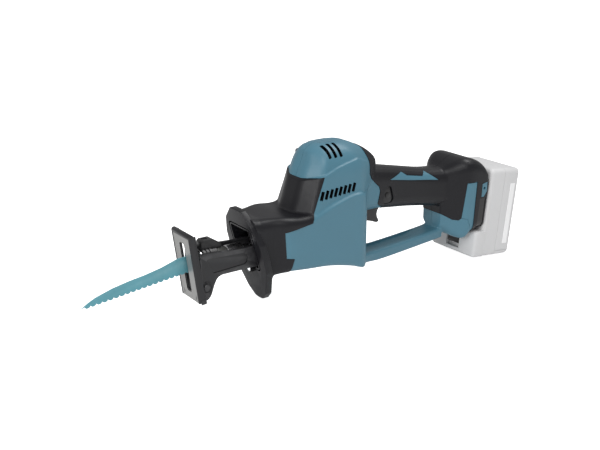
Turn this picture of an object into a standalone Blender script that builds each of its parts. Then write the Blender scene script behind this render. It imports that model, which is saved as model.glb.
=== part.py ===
"""Cordless reciprocating saw with an in-line grip, modelled as an assembly of separate pieces.

The tool frame has its origin where the stroke axis crosses the shoe: X runs back from the blade to
the battery, Z is up, and the tool is symmetric about Y = 0. An empty places that frame so that the
assembly stands on Z = 0 with its box centred. Sizes are millimetres times MM, so they are in metres.
"""

import math

import bmesh
import bpy
from mathutils import Matrix, Vector

MM = 0.001
GAP = 0.3 * MM
SEAM = 0.15 * MM
WELD = 0.002 * MM
FAR = 400 * MM

# Shells
WALL = 3.0 * MM
BODY_HALF_WIDTH = 38.0 * MM
BODY_BACK = 212.0 * MM
HUMP_HEIGHT = 104.0 * MM
GRIP_HALF_WIDTH = 17.5 * MM
GRIP_BACK = 338.0 * MM
CAP_HALF_WIDTH = 36.5 * MM
BAR_HALF_WIDTH = 14.0 * MM

# Front flange, shoe and bracket
FLANGE_LEAN = -0.27
FLANGE_X = 69.4 * MM
FLANGE_THICKNESS = 4.5 * MM
SHOE_TILT = math.radians(7.5)
SHOE_HALF_WIDTH = 18.5 * MM
SHOE_THICKNESS = 2.6 * MM
SHOE_HEIGHT = 74.0 * MM
BRACKET_HALF_WIDTH = 15.6 * MM
BRACKET_SHEET = 1.8 * MM
PIVOT = Vector((12.2 * MM, 0, -26.0 * MM))
PIVOT_RADIUS = 2.5 * MM

# Drive
STROKE = 20.0 * MM
SHAFT_RADIUS = 6.0 * MM
RUNNING = 0.08 * MM
BUSH_WALL = 2.5 * MM
MODULE = 1.1 * MM
PINION_TEETH = 9
GEAR_TEETH = 36
BACKLASH_SHIFT = 0.25 * MM
GEAR_WIDTH = 7.0 * MM
GEAR_BOTTOM = 12.0 * MM
MOTOR_X = 178.0 * MM
STATOR_RADIUS = 23.0 * MM
STATOR_LOW = 44.0 * MM
STATOR_HIGH = 70.0 * MM
MOTOR_SHAFT_RADIUS = 2.5 * MM
CRANK_PIN_RADIUS = 4.0 * MM
GEAR_SHAFT_RADIUS = 5.0 * MM
YOKE_SLACK = 2.4 * MM

# Blade and clamp
BLADE_THICKNESS = 1.3 * MM
BLADE_TIP_X = -118.7 * MM
TOOTH_PITCH = 6.0 * MM
CLAMP_RADIUS = 13.2 * MM
CLAMP_BODY_RADIUS = 10.0 * MM

# Battery pack, in its own leaning frame: V points back, U points up along the slide
PACK_LEAN = math.radians(6.1)
PACK_FRONT_V = 394.6 * MM
PACK_DEPTH = 51.4 * MM
PACK_LOW_U = -27.0 * MM
PACK_LENGTH = 112.0 * MM
PACK_HALF_WIDTH = 37.5 * MM
PACK_WALL = 2.2 * MM
PACK_FOOT_V = 381.0 * MM
PACK_TOP_RADIUS = 9.0 * MM
PACK_LOW_RADIUS = 7.0 * MM
RAIL_NECK = 16.5 * MM
RAIL_HEAD = 21.0 * MM
RAIL_CLEARANCE = 0.6 * MM
CELL_RADIUS = 9.1 * MM

GEAR_X = MOTOR_X - MODULE * (PINION_TEETH + GEAR_TEETH) / 2 - BACKLASH_SHIFT
PACK_BACK_V = PACK_FRONT_V + PACK_DEPTH
PACK_TOP_U = PACK_LOW_U + PACK_LENGTH
BACK_X = ((PACK_BACK_V - PACK_TOP_RADIUS) * math.cos(PACK_LEAN)
          + (PACK_TOP_U - PACK_TOP_RADIUS) * math.sin(PACK_LEAN) + PACK_TOP_RADIUS)
BASE_Z = ((PACK_LOW_RADIUS - PACK_BACK_V) * math.sin(PACK_LEAN)
          + (PACK_LOW_U + PACK_LOW_RADIUS) * math.cos(PACK_LEAN) - PACK_LOW_RADIUS)
MID_X = (BACK_X + BLADE_TIP_X) / 2

COLOURS = {
    "teal": ((0.085, 0.21, 0.275), 0.45, 0.0),
    "black": ((0.03, 0.03, 0.034), 0.6, 0.0),
    "rubber": ((0.028, 0.028, 0.031), 0.8, 0.0),
    "steel": ((0.55, 0.55, 0.56), 0.3, 1.0),
    "blackened": ((0.035, 0.035, 0.04), 0.35, 0.6),
    "aluminium": ((0.6, 0.6, 0.62), 0.4, 1.0),
    "brass": ((0.7, 0.5, 0.2), 0.35, 1.0),
    "blade": ((0.1, 0.35, 0.42), 0.35, 0.3),
    "lens": ((0.9, 0.92, 0.95), 0.1, 0.0),
    "pack": ((0.62, 0.62, 0.63), 0.5, 0.0),
    "board": ((0.02, 0.12, 0.06), 0.5, 0.0),
    "cell": ((0.12, 0.3, 0.5), 0.4, 0.0),
}


def clear_scene():
    for obj in list(bpy.data.objects):
        bpy.data.objects.remove(obj)


def collection(name):
    made = bpy.data.collections.new(name)
    bpy.context.scene.collection.children.link(made)
    return made


def material(name):
    if name in bpy.data.materials:
        return bpy.data.materials[name]
    made = bpy.data.materials.new(name)
    made.use_nodes = True
    shader = made.node_tree.nodes["Principled BSDF"]
    colour, roughness, metallic = COLOURS[name]
    shader.inputs["Base Color"].default_value = (*colour, 1)
    shader.inputs["Roughness"].default_value = roughness
    shader.inputs["Metallic"].default_value = metallic
    return made


# ---------------------------------------------------------------- helpers


def placed(name, mesh, cutter=False):
    obj = bpy.data.objects.new(name, mesh)
    (CUTTERS if cutter else PARTS).objects.link(obj)
    obj.parent = FRAME
    if cutter:
        obj.hide_render = True
        obj.display_type = "WIRE"
    return obj


def from_bmesh(name, bm, cutter=True):
    bmesh.ops.recalc_face_normals(bm, faces=bm.faces)
    mesh = bpy.data.meshes.new(name)
    bm.to_mesh(mesh)
    bm.free()
    return placed(name, mesh, cutter)


def box(x0, x1, y0, y1, z0, z1, name="box", bevel=0):
    bm = bmesh.new()
    size = Matrix.Diagonal((x1 - x0, y1 - y0, z1 - z0, 1))
    centre = Vector(((x0 + x1) / 2, (y0 + y1) / 2, (z0 + z1) / 2))
    bmesh.ops.create_cube(bm, size=1, matrix=Matrix.Translation(centre) @ size)
    if bevel:
        bmesh.ops.bevel(
            bm, geom=bm.edges[:], offset=bevel, segments=1, profile=0.5, affect="EDGES", material=-1
        )
    return from_bmesh(name, bm)


def rod(start, end, radius, sides=24, name="rod", tip=None):
    """A cylinder, or a cone where tip gives the radius at its end."""
    axis = Vector(end) - Vector(start)
    turn = Vector((0, 0, 1)).rotation_difference(axis).to_matrix().to_4x4()
    middle = Matrix.Translation((Vector(start) + Vector(end)) / 2)
    bm = bmesh.new()
    bmesh.ops.create_cone(
        bm,
        cap_ends=True,
        segments=sides,
        radius1=radius,
        radius2=radius if tip is None else tip,
        depth=axis.length,
        matrix=middle @ turn,
    )
    return from_bmesh(name, bm)


def prism(outline, low, high, plane="XZ", name="prism"):
    """An outline given in millimetres as pairs, extruded between two places along the third axis."""
    curve = bpy.data.curves.new(name, "CURVE")
    curve.dimensions = "2D"
    curve.fill_mode = "BOTH"
    curve.extrude = (high - low) / 2
    spline = curve.splines.new("POLY")
    spline.points.add(len(outline) - 1)
    for point, (a, b) in zip(spline.points, outline):
        point.co = (a * MM, b * MM, 0, 1)
    spline.use_cyclic_u = True
    guide = bpy.data.objects.new(name, curve)
    CUTTERS.objects.link(guide)
    middle = (low + high) / 2
    turns = {
        "XZ": Matrix.Translation((0, middle, 0)) @ Matrix.Rotation(math.pi / 2, 4, "X"),
        "XY": Matrix.Translation((0, 0, middle)),
        "YZ": Matrix(((0, 0, 1, middle), (1, 0, 0, 0), (0, 1, 0, 0), (0, 0, 0, 1))),
    }
    bpy.context.view_layer.update()
    evaluated = guide.evaluated_get(bpy.context.evaluated_depsgraph_get())
    bm = bmesh.new()
    bm.from_mesh(bpy.data.meshes.new_from_object(evaluated))
    bmesh.ops.remove_doubles(bm, verts=bm.verts, dist=1e-6)
    bmesh.ops.transform(bm, matrix=turns[plane], verts=bm.verts)
    bpy.data.objects.remove(guide)
    return from_bmesh(name, bm)


def baked(obj):
    """Applies the object's modifiers to its mesh."""
    bpy.context.view_layer.update()
    evaluated = obj.evaluated_get(bpy.context.evaluated_depsgraph_get())
    mesh = bpy.data.meshes.new_from_object(evaluated)
    bm = bmesh.new()
    bm.from_mesh(mesh)
    bmesh.ops.remove_doubles(bm, verts=bm.verts, dist=WELD)
    bmesh.ops.dissolve_degenerate(bm, edges=bm.edges, dist=WELD)
    bm.to_mesh(mesh)
    bm.free()
    obj.modifiers.clear()
    obj.data = mesh
    return obj


def combine(obj, operation, *tools):
    """Booleans the tools with obj, then removes them."""
    for tool in tools:
        step = obj.modifiers.new(operation, "BOOLEAN")
        step.operation = operation
        step.object = tool
        step.solver = "EXACT"
    baked(obj)
    for tool in tools:
        bpy.data.objects.remove(tool)
    return obj


def cut(obj, *tools):
    return combine(obj, "DIFFERENCE", *tools)


def join(obj, *tools):
    return combine(obj, "UNION", *tools)


def keep(obj, tool):
    return combine(obj, "INTERSECT", tool)


def copy_of(obj, name="copy"):
    return placed(name, obj.data.copy(), cutter=True)


def finished(obj, name, colour, pivot=(0, 0, 0), smooth=True):
    """Turns a helper into a named part, with its origin on its joint."""
    CUTTERS.objects.unlink(obj)
    PARTS.objects.link(obj)
    obj.hide_render = False
    obj.display_type = "TEXTURED"
    obj.name = name
    obj.data.name = name
    obj.data.materials.clear()
    obj.data.materials.append(material(colour))
    obj.data.transform(Matrix.Translation(-Vector(pivot)))
    obj.location = pivot
    if smooth:
        obj.data.shade_smooth()
        obj.data.set_sharp_from_angle(angle=math.radians(30))
    return obj


def mirrored(obj, name):
    """The same piece on the other side of the tool."""
    mesh = obj.data.copy()
    bm = bmesh.new()
    bm.from_mesh(mesh)
    bmesh.ops.scale(bm, vec=(1, -1, 1), verts=bm.verts)
    bmesh.ops.reverse_faces(bm, faces=bm.faces)
    bm.to_mesh(mesh)
    bm.free()
    twin = placed(name, mesh)
    twin.location = Vector(obj.location) * Vector((1, -1, 1))
    return twin


def ring_part(name, colour, axis, low, high, outer, bore, centre=(0, 0, 0), sides=32, pivot=(0, 0, 0)):
    """A ring, sleeve or bearing turned about X or Z."""
    ahead = {"X": Vector((1, 0, 0)), "Z": Vector((0, 0, 1))}[axis]
    centre = Vector(centre)
    body = rod(centre + ahead * low, centre + ahead * high, outer, sides)
    hole = rod(centre + ahead * (low - 1 * MM), centre + ahead * (high + 1 * MM), bore, sides)
    return finished(cut(body, hole), name, colour, pivot)


def grown(outline, by):
    """The outline moved outwards by this many millimetres."""
    area = sum(a[0] * b[1] - b[0] * a[1] for a, b in zip(outline, outline[1:] + outline[:1]))
    side = 1 if area > 0 else -1
    moved = []
    for index, point in enumerate(outline):
        before = Vector(point) - Vector(outline[index - 1])
        after = Vector(outline[(index + 1) % len(outline)]) - Vector(point)
        first = Vector((before.y, -before.x)).normalized() * side
        second = Vector((after.y, -after.x)).normalized() * side
        mitre = (first + second) / max(1 + first.dot(second), 0.3)
        moved.append(tuple(Vector(point) + mitre * by))
    return moved


# ---------------------------------------------------------------- outer form


def loft(rings, name="loft"):
    """Skins a list of rings of points and caps both ends."""
    bm = bmesh.new()
    rows = [[bm.verts.new(point) for point in ring] for ring in rings]
    for row, after in zip(rows, rows[1:]):
        for index in range(len(row)):
            following = (index + 1) % len(row)
            bm.faces.new((row[index], row[following], after[following], after[index]))
    bm.faces.new(rows[0])
    bm.faces.new(rows[-1])
    bmesh.ops.triangulate(bm, faces=bm.faces, quad_method="SHORT_EDGE")
    return from_bmesh(name, bm)


def round_box_ring(x, lean, half_width, low, high, top_radius, low_radius, inset=0, steps=3):
    """A rounded rectangle across X, leaning by lean, and inset for inner surfaces."""
    half_width -= inset
    low += inset
    high -= inset
    points = []
    corners = (
        (1, 1, top_radius, 0),
        (-1, 1, top_radius, 90),
        (-1, -1, low_radius, 180),
        (1, -1, low_radius, 270),
    )
    for side, up, radius, start in corners:
        radius = max(radius - inset, 1 * MM)
        centre_y = side * (half_width - radius)
        centre_z = (high - radius) if up > 0 else (low + radius)
        for step in range(steps + 1):
            angle = math.radians(start + 90 * step / steps)
            y = centre_y + radius * math.cos(angle)
            z = centre_z + radius * math.sin(angle)
            points.append((x + lean * z, y, z))
    return points


def oval_ring(x, half_width, low, high, inset=0, count=20):
    """A squarish oval across X."""
    middle = (low + high) / 2
    half_height = (high - low) / 2 - inset
    half_width = half_width - inset
    points = []
    for step in range(count):
        angle = 2 * math.pi * (step + 0.5) / count
        y = math.copysign(abs(math.cos(angle)) ** 0.75, math.cos(angle))
        z = math.copysign(abs(math.sin(angle)) ** 0.75, math.sin(angle))
        points.append((x, half_width * y, middle + half_height * z))
    return points


def soft_prism(outline, low, high, radius, name="soft_prism", steps=2):
    """An outline in millimetres over X and Z, extruded along Y, with its two rims rounded."""
    ends = [(low + radius * (1 - math.cos(a)), radius * (1 - math.sin(a)) / MM)
            for a in (math.pi / 2 * step / steps for step in range(steps + 1))]
    places = ends + [(low + high - y, inset) for y, inset in reversed(ends)]
    return loft([[(a * MM, y, b * MM) for a, b in grown(outline, -inset)] for y, inset in places], name)


# Lower body from the flange back: place, lean, half width less than the body's, low, high, radii
BODY_STATIONS = (
    (73.0, FLANGE_LEAN, 11.0, -31.0, 37.0, 12.0, 10.0),
    (88.0, -0.10, 7.0, -27.5, 37.0, 11.5, 9.0),
    (103.0, 0.0, 0.8, -25.0, 36.5, 11.0, 8.0),
    (157.0, 0.0, 0.0, -29.5, 36.0, 11.0, 7.0),
    (202.0, 0.0, 0.6, -40.0, 36.0, 11.0, 7.0),
)


def lower_body(inset=0):
    rings = []
    for x, lean, narrower, low, high, top_radius, low_radius in BODY_STATIONS:
        x = x * MM + (inset if x == BODY_STATIONS[0][0] else 0)
        half_width = BODY_HALF_WIDTH - narrower * MM
        rings.append(
            round_box_ring(
                x, lean, half_width, low * MM, high * MM, top_radius * MM, low_radius * MM, inset
            )
        )
    tail = BODY_HALF_WIDTH * 0.66
    rings.append(
        round_box_ring(BODY_BACK - inset, 0, tail, -42 * MM, 30 * MM, 8 * MM, 7 * MM, inset)
    )
    return loft(rings, "lower_body")


# Hump levels for a 104 mm top: height, front, front flat, side front, half width less than the body's,
# side back, back, back flat
HUMP_LEVELS = (
    (18.0, 111.5, 11.0, 130.0, 0.8, 200.0, 216.0, 20.0),
    (36.0, 119.0, 11.5, 132.0, 1.2, 200.0, 220.0, 18.5),
    (60.0, 127.5, 12.0, 141.0, 3.5, 200.0, 232.0, 17.0),
    (76.0, 134.5, 12.0, 147.0, 6.2, 199.0, 236.0, 15.0),
    (88.0, 140.0, 11.5, 151.0, 9.5, 196.0, 225.0, 14.0),
    (97.0, 145.5, 10.0, 157.0, 15.0, 190.0, 210.0, 12.0),
    (102.0, 153.0, 7.5, 163.0, 22.5, 185.0, 198.0, 9.0),
    (104.0, 161.0, 4.0, 168.0, 30.0, 181.0, 189.0, 5.0),
)


def hump(inset=0):
    rise = HUMP_HEIGHT / (HUMP_LEVELS[-1][0] * MM)
    rings = []
    for level, front, flat, side_front, narrower, side_back, back, back_flat in HUMP_LEVELS:
        z = level * MM * rise
        if level in (HUMP_LEVELS[0][0], HUMP_LEVELS[-1][0]):
            z -= inset
        front, flat, side_front = front * MM + inset, flat * MM, side_front * MM + inset * 0.6
        side_back, back = side_back * MM - inset * 0.6, back * MM - inset
        width = BODY_HALF_WIDTH - narrower * MM - inset
        back_flat = back_flat * MM - inset * 0.6
        flat = min(flat, width - 1 * MM)
        back_flat = min(back_flat, width - 1 * MM)
        near = [(front, flat), (side_front, width), (side_back, width), (back, back_flat)]
        rings.append([(x, y, z) for x, y in near] + [(x, -y, z) for x, y in reversed(near)])
    return loft(rings, "hump")


# Grip stations: place, wider than the grip, low, high
GRIP_STATIONS = (
    (200.0, 3.0, 14.0, 75.0),
    (240.0, 1.2, 14.6, 66.8),
    (262.0, 0.2, 12.2, 62.2),
    (290.0, 0.0, 8.8, 56.4),
    (314.0, 0.6, 5.0, 51.4),
    (336.0, 2.4, 1.4, 48.5),
    (352.0, 3.0, 0.0, 48.0),
)


def grip(inset=0):
    rings = []
    for x, wider, low, high in GRIP_STATIONS:
        rings.append(oval_ring(x * MM, GRIP_HALF_WIDTH + wider * MM, low * MM, high * MM, inset))
    return loft(rings, "grip")


# Rear housing stations: place, lean, half width below the widest, low, high, radius
CAP_STATIONS = (
    (0.0, 0.0, 21.0, -26.5, 46.0, 8.0),
    (7.0, 0.0, 16.0, -31.5, 49.5, 10.0),
    (14.0, 0.0, 9.5, -37.0, 54.0, 12.0),
    (21.0, 0.0, 4.5, -40.5, 57.5, 12.0),
    (28.0, 0.0, 1.1, -42.0, 59.2, 12.0),
    (36.5, 0.03, 0.0, -35.0, 58.4, 12.0),
    (47.5, 0.06, 0.0, -33.0, 52.5, 12.0),
    (54.6, 0.09, 0.2, -32.3, 43.5, 11.0),
    (58.2, math.tan(PACK_LEAN), 0.8, -31.5, 31.0, 9.0),
)


def cap(inset=0):
    rings = []
    ends = {CAP_STATIONS[0][0]: inset, CAP_STATIONS[-1][0]: -inset}
    for x, lean, narrower, low, high, radius in CAP_STATIONS:
        place = GRIP_BACK + x * MM + ends.get(x, 0)
        half_width = CAP_HALF_WIDTH - narrower * MM
        rings.append(
            round_box_ring(
                place, lean, half_width, low * MM, high * MM, radius * MM, radius * MM, inset
            )
        )
    return loft(rings, "cap")


def bar():
    rings = []
    for x, low, high in ((190, -40.5, -28), (225, -44.5, -33.7), (253, -46.8, -33.3), (320, -41.8, -28.8)):
        rings.append(round_box_ring(x * MM, 0, BAR_HALF_WIDTH, low * MM, high * MM, 4 * MM, 4 * MM))
    back = GRIP_BACK + 7 * MM
    rings.append(round_box_ring(back, 0, BAR_HALF_WIDTH, -41 * MM, -25.5 * MM, 4 * MM, 4 * MM))
    return loft(rings, "bar")


BOOT_OUTLINE = [
    (40, -80), (102, -80), (102, -26), (107.5, -9), (98.5, -7.5), (97, 21.5), (131, 26.5),
    (149.5, 73), (134.5, 69.5), (125, 67.5), (110, 90), (40, 90),
]
GRIP_OUTLINE = [
    (210, 100), (219.5, 77), (220, 63.5), (233, 48.5), (239, 41), (236.5, 24.5), (246, 18.5),
    (246.5, 12), (249, -5), (313, -5), (330, -8), (349, -15), (358.5, -15), (363, 31), (377.6, 31),
    (372.5, -60), (440, -60), (440, 110),
]
STRIP_OUTLINE = [(358.8, -15), (363.3, 30.6), (377.2, 30.6), (373.2, -30), (371.8, -30.2), (366, -15)]
CAP_INNER_BACK = (GRIP_BACK + 58.2 * MM - WALL) / MM
PANEL_OUTLINE = [(380.2, -28), (383.6, 8.5), (CAP_INNER_BACK, 8.5), (CAP_INNER_BACK - 3, -28)]
TAB_OUTLINE = [(385.6, 10.5), (386.4, 27), (394.6, 28.5), (395, 17), (389.5, 10)]
INLAY_OUTLINE = [
    (254, 49.5), (274.5, 55.2), (281.5, 50.2), (306, 45.4), (312, 50), (329.5, 37.5), (290, 43.2),
]
SCREW_PLACES = {
    "lower": (197 * MM, -30.5 * MM, BODY_HALF_WIDTH - 2 * MM),
    "hump_back": (209 * MM, 58 * MM, BODY_HALF_WIDTH - 11 * MM),
    "hump_top": (154 * MM, HUMP_HEIGHT - 14 * MM, BODY_HALF_WIDTH - 13 * MM),
    "bar": (285 * MM, -37.6 * MM, BAR_HALF_WIDTH - 0.8 * MM),
    "cap": (367 * MM, 45 * MM, CAP_HALF_WIDTH - 1.5 * MM),
}


def skin():
    """The outer shell, 3 mm thick, before it is split into its mouldings."""
    outer = join(lower_body(), hump(), grip(), cap())
    inner = join(lower_body(WALL), hump(WALL), grip(WALL), cap(WALL))
    return join(cut(outer, inner), cut(bar(), lower_body(WALL * 0.6), cap(WALL * 0.6)))


def side_of(shell, side):
    """Cuts a full-width shell back to the half on the -Y side."""
    return keep(shell, box(-FAR, 2 * FAR, -FAR * side, -SEAM, -FAR, FAR))


def pack_box(v0, v1, y0, y1, u0, u1, bevel=0):
    """A box in the battery pack's leaning frame."""
    made = box(v0, v1, y0, y1, u0, u1, bevel=bevel)
    made.data.transform(Matrix.Rotation(PACK_LEAN, 4, "Y"))
    return made


def rounded(outline, radii, steps=3):
    """The outline with each corner turned into an arc of its own radius."""
    points = []
    for index, (corner, radius) in enumerate(zip(outline, radii)):
        here = Vector(corner)
        back = (Vector(outline[index - 1]) - here).normalized()
        ahead = (Vector(outline[(index + 1) % len(outline)]) - here).normalized()
        if not radius:
            points.append(tuple(here))
            continue
        half = back.angle(ahead) / 2
        reach = radius / math.tan(half)
        centre = here + (back + ahead).normalized() * (radius / math.sin(half))
        first, last = here + back * reach - centre, here + ahead * reach - centre
        sweep = math.atan2(first.x * last.y - first.y * last.x, first.dot(last))
        for step in range(steps + 1):
            arm = Matrix.Rotation(sweep * step / steps, 2) @ first
            points.append(tuple(centre + arm))
    return points


def pack_channel():
    """The T-slot in the rear housing that the battery's rail runs in."""
    top = 78 * MM
    neck = RAIL_NECK + RAIL_CLEARANCE
    head = RAIL_HEAD + RAIL_CLEARANCE
    back_wall = PACK_FRONT_V - GAP - WALL
    return (
        pack_box(back_wall - 9 * MM, PACK_FRONT_V + 8 * MM, -neck, neck, -30 * MM, top),
        pack_box(back_wall - 9 * MM, back_wall - GAP, -head, head, -30 * MM, top),
    )


def side_vents():
    slots = []
    for index in range(8):
        x = (145.5 + 6.1 * index) * MM
        z = (53 + 0.45 * index) * MM
        slot = box(-1.8 * MM, 1.8 * MM, -FAR, FAR, -4.6 * MM, 4.6 * MM)
        slot.data.transform(Matrix.Translation((x, 0, z)) @ Matrix.Rotation(0.32, 4, "Y"))
        slots.append(slot)
    return slots


def top_vents():
    slots = []
    for index in range(3):
        x = (160 + 7.5 * index) * MM
        slot = box(-1.6 * MM, 1.6 * MM, -26 * MM, -12 * MM, 84 * MM, 112 * MM)
        slot.data.transform(Matrix.Translation((x, 0, 0)))
        slots.append(slot)
    return slots


TRIGGER_HALF_WIDTH = 9.2 * MM
TRIGGER_OUTLINE = [
    (216, 26), (216, 10.5), (219, 4.5), (227, 2.0), (240, -0.8), (245, -0.6), (245, 5), (246, 12),
    (248, 18), (243, 24.5), (240, 26),
]


def trigger_slot():
    front = min(x for x, z in TRIGGER_OUTLINE) - 1
    back = max(x for x, z in TRIGGER_OUTLINE) + 1
    side = TRIGGER_HALF_WIDTH + 2 * GAP
    return box(front * MM, back * MM, -side, side, -8 * MM, 24 * MM)


def screw_boss(key):
    x, z, face = SCREW_PLACES[key]
    return rod((x, -face + 1.5 * MM, z), (x, -SEAM - 0.1 * MM, z), 4 * MM, 12)


def screw_hole(key, side):
    x, z, face = SCREW_PLACES[key]
    end = -face - 5 * MM if side == "right" else -face + 5 * MM
    return rod((x, end, z), (x, 5 * MM, z), 2 * MM, 12)


def head_recess(key):
    x, z, face = SCREW_PLACES[key]
    return rod((x, -face - 5 * MM, z), (x, -face + 2.5 * MM, z), 3.6 * MM, 12)


def housing(shell):
    """The hard clamshell: body, hump, guard bar and the lower part of the rear housing."""
    body = cut(shell, prism(grown(BOOT_OUTLINE, 0.15), -FAR, FAR))
    body = cut(body, prism(grown(GRIP_OUTLINE, 0.15), -FAR, FAR))
    body = cut(body, prism(grown(STRIP_OUTLINE, 0.15), -FAR, FAR))
    body = side_of(body, 1)
    body = cut(body, *side_vents(), *top_vents(), trigger_slot(), *pack_channel())
    mine = [key for key in SCREW_PLACES if key not in ("cap", "bar")]
    body = join(body, *(screw_boss(key) for key in mine))
    left = copy_of(body)
    holes = [key for key in SCREW_PLACES if key != "cap"]
    cut(left, *(screw_hole(key, "left") for key in holes))
    right = cut(body, *(screw_hole(key, "right") for key in holes))
    cut(right, *(head_recess(key) for key in holes))
    finished(left, "housing_left", "teal")
    twin = mirrored(finished(right, "housing_right_pattern", "teal"), "housing_right")
    bpy.data.objects.remove(bpy.data.objects["housing_right_pattern"])
    return left, twin


LOCK_X = 252.0 * MM
LOCK_Z = 31.5 * MM
LOCK_RADIUS = 5.0 * MM


def grips(shell):
    """The dark soft moulding over the handle and rear housing, in two halves, with its inlays."""
    body = keep(copy_of(shell), prism(grown(GRIP_OUTLINE, -0.15), -FAR, FAR))
    body = side_of(body, 1)
    body = cut(body, *pack_channel(), trigger_slot())
    lock = rod((LOCK_X, -FAR, LOCK_Z), (LOCK_X, FAR, LOCK_Z), LOCK_RADIUS + GAP, 20)
    body = cut(body, lock)
    for outline, stem, depth in (
        (INLAY_OUTLINE, "handle_inlay", -9),
        (PANEL_OUTLINE, "side_panel", -25),
        (TAB_OUTLINE, "strap_tab", -25),
    ):
        body = cut(body, prism(grown(outline, 0.15), -FAR, depth * MM))
        piece = keep(copy_of(shell), prism(grown(outline, -0.15), -FAR, depth * MM - GAP))
        if stem == "strap_tab":
            hole = rod((390.2 * MM, -FAR, 21 * MM), (390.2 * MM, 0, 21 * MM), 1.8 * MM, 12)
            piece = cut(piece, hole)
        finished(piece, stem + "_left", "black" if stem == "side_panel" else "teal")
        mirrored(piece, stem + "_right")
    strip = keep(copy_of(shell), prism(grown(STRIP_OUTLINE, -0.15), -FAR, -25 * MM))
    finished(strip, "side_strip_left", "teal")
    mirrored(strip, "side_strip_right")
    body = join(body, screw_boss("cap"))
    left = copy_of(body)
    cut(left, screw_hole("cap", "left"))
    right = cut(body, screw_hole("cap", "right"))
    cut(right, head_recess("cap"))
    finished(left, "grip_left", "rubber")
    mirrored(finished(right, "grip_right_pattern", "rubber"), "grip_right")
    bpy.data.objects.remove(bpy.data.objects["grip_right_pattern"])


FLANGE_OUTLINE = [
    (0, 46.5), (10, 46), (25.5, 31.5), (32.5, 15), (34.3, -4), (33, -20), (27, -37), (17, -51),
    (6.5, -59.5), (0, -60.5),
]


def front_boot(shell):
    """The rubber cover over the nose with the finger-guard flange in one."""
    body = keep(shell, prism(grown(BOOT_OUTLINE, -0.15), -FAR, FAR))
    outline = FLANGE_OUTLINE + [(-y, z) for y, z in reversed(FLANGE_OUTLINE[1:-1])]
    flange = prism(outline, FLANGE_X, FLANGE_X + FLANGE_THICKNESS + 2 * MM, plane="YZ")
    flange.data.transform(Matrix(((1, 0, FLANGE_LEAN, 0), (0, 1, 0, 0), (0, 0, 1, 0), (0, 0, 0, 1))))
    fillet = loft(
        [
            round_box_ring(FLANGE_X + 5 * MM, FLANGE_LEAN, BODY_HALF_WIDTH - 9.5 * MM, -42 * MM, 39 * MM,
                           12 * MM, 16 * MM),
            round_box_ring(84 * MM, -0.2, BODY_HALF_WIDTH - 9 * MM, -30 * MM, 37 * MM, 12 * MM, 12 * MM),
            round_box_ring(95 * MM, -0.1, BODY_HALF_WIDTH - 8 * MM, -26 * MM, 36 * MM, 12 * MM, 9 * MM),
        ]
    )
    body = join(body, flange, fillet)
    hollow = loft(
        [
            round_box_ring(FLANGE_X + 9 * MM, FLANGE_LEAN, BODY_HALF_WIDTH - 14.5 * MM, -27 * MM, 33 * MM,
                           9 * MM, 8 * MM),
            round_box_ring(88 * MM, -0.1, BODY_HALF_WIDTH - 10.5 * MM, -24 * MM, 33.5 * MM, 9 * MM, 7 * MM),
            round_box_ring(104 * MM, 0, BODY_HALF_WIDTH - 4.5 * MM, -21.5 * MM, 33 * MM, 9 * MM, 6 * MM),
        ]
    )
    window = box(40 * MM, 100 * MM, -19 * MM, 19 * MM, -18.5 * MM, 25 * MM, bevel=3 * MM)
    lamp = rod((60 * MM, 0, LAMP_Z), (100 * MM, 0, LAMP_Z), LAMP_RADIUS + 1.5 * MM, 20)
    body = cut(body, hollow, window, lamp)
    return finished(body, "front_boot", "rubber")


# ---------------------------------------------------------------- front end

LAMP_Z = -23.0 * MM
LAMP_RADIUS = 3.4 * MM


def lamp():
    holder = rod((72.5 * MM, 0, LAMP_Z), (80 * MM, 0, LAMP_Z), LAMP_RADIUS + 1.2 * MM, 20)
    holder = cut(holder, rod((71 * MM, 0, LAMP_Z), (77.5 * MM, 0, LAMP_Z), LAMP_RADIUS + GAP, 20))
    finished(holder, "lamp_holder", "black")
    lens = rod((73.5 * MM, 0, LAMP_Z), (77.2 * MM, 0, LAMP_Z), LAMP_RADIUS, 20)
    dome = rod((72 * MM, 0, LAMP_Z), (74 * MM, 0, LAMP_Z), LAMP_RADIUS * 0.5, 20, tip=LAMP_RADIUS * 0.9)
    finished(join(lens, dome), "lamp_lens", "lens")


def shoe_plane(z):
    """The shoe's front face on the centre plane at height z."""
    return -3.6 * MM - math.tan(SHOE_TILT) * z


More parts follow.
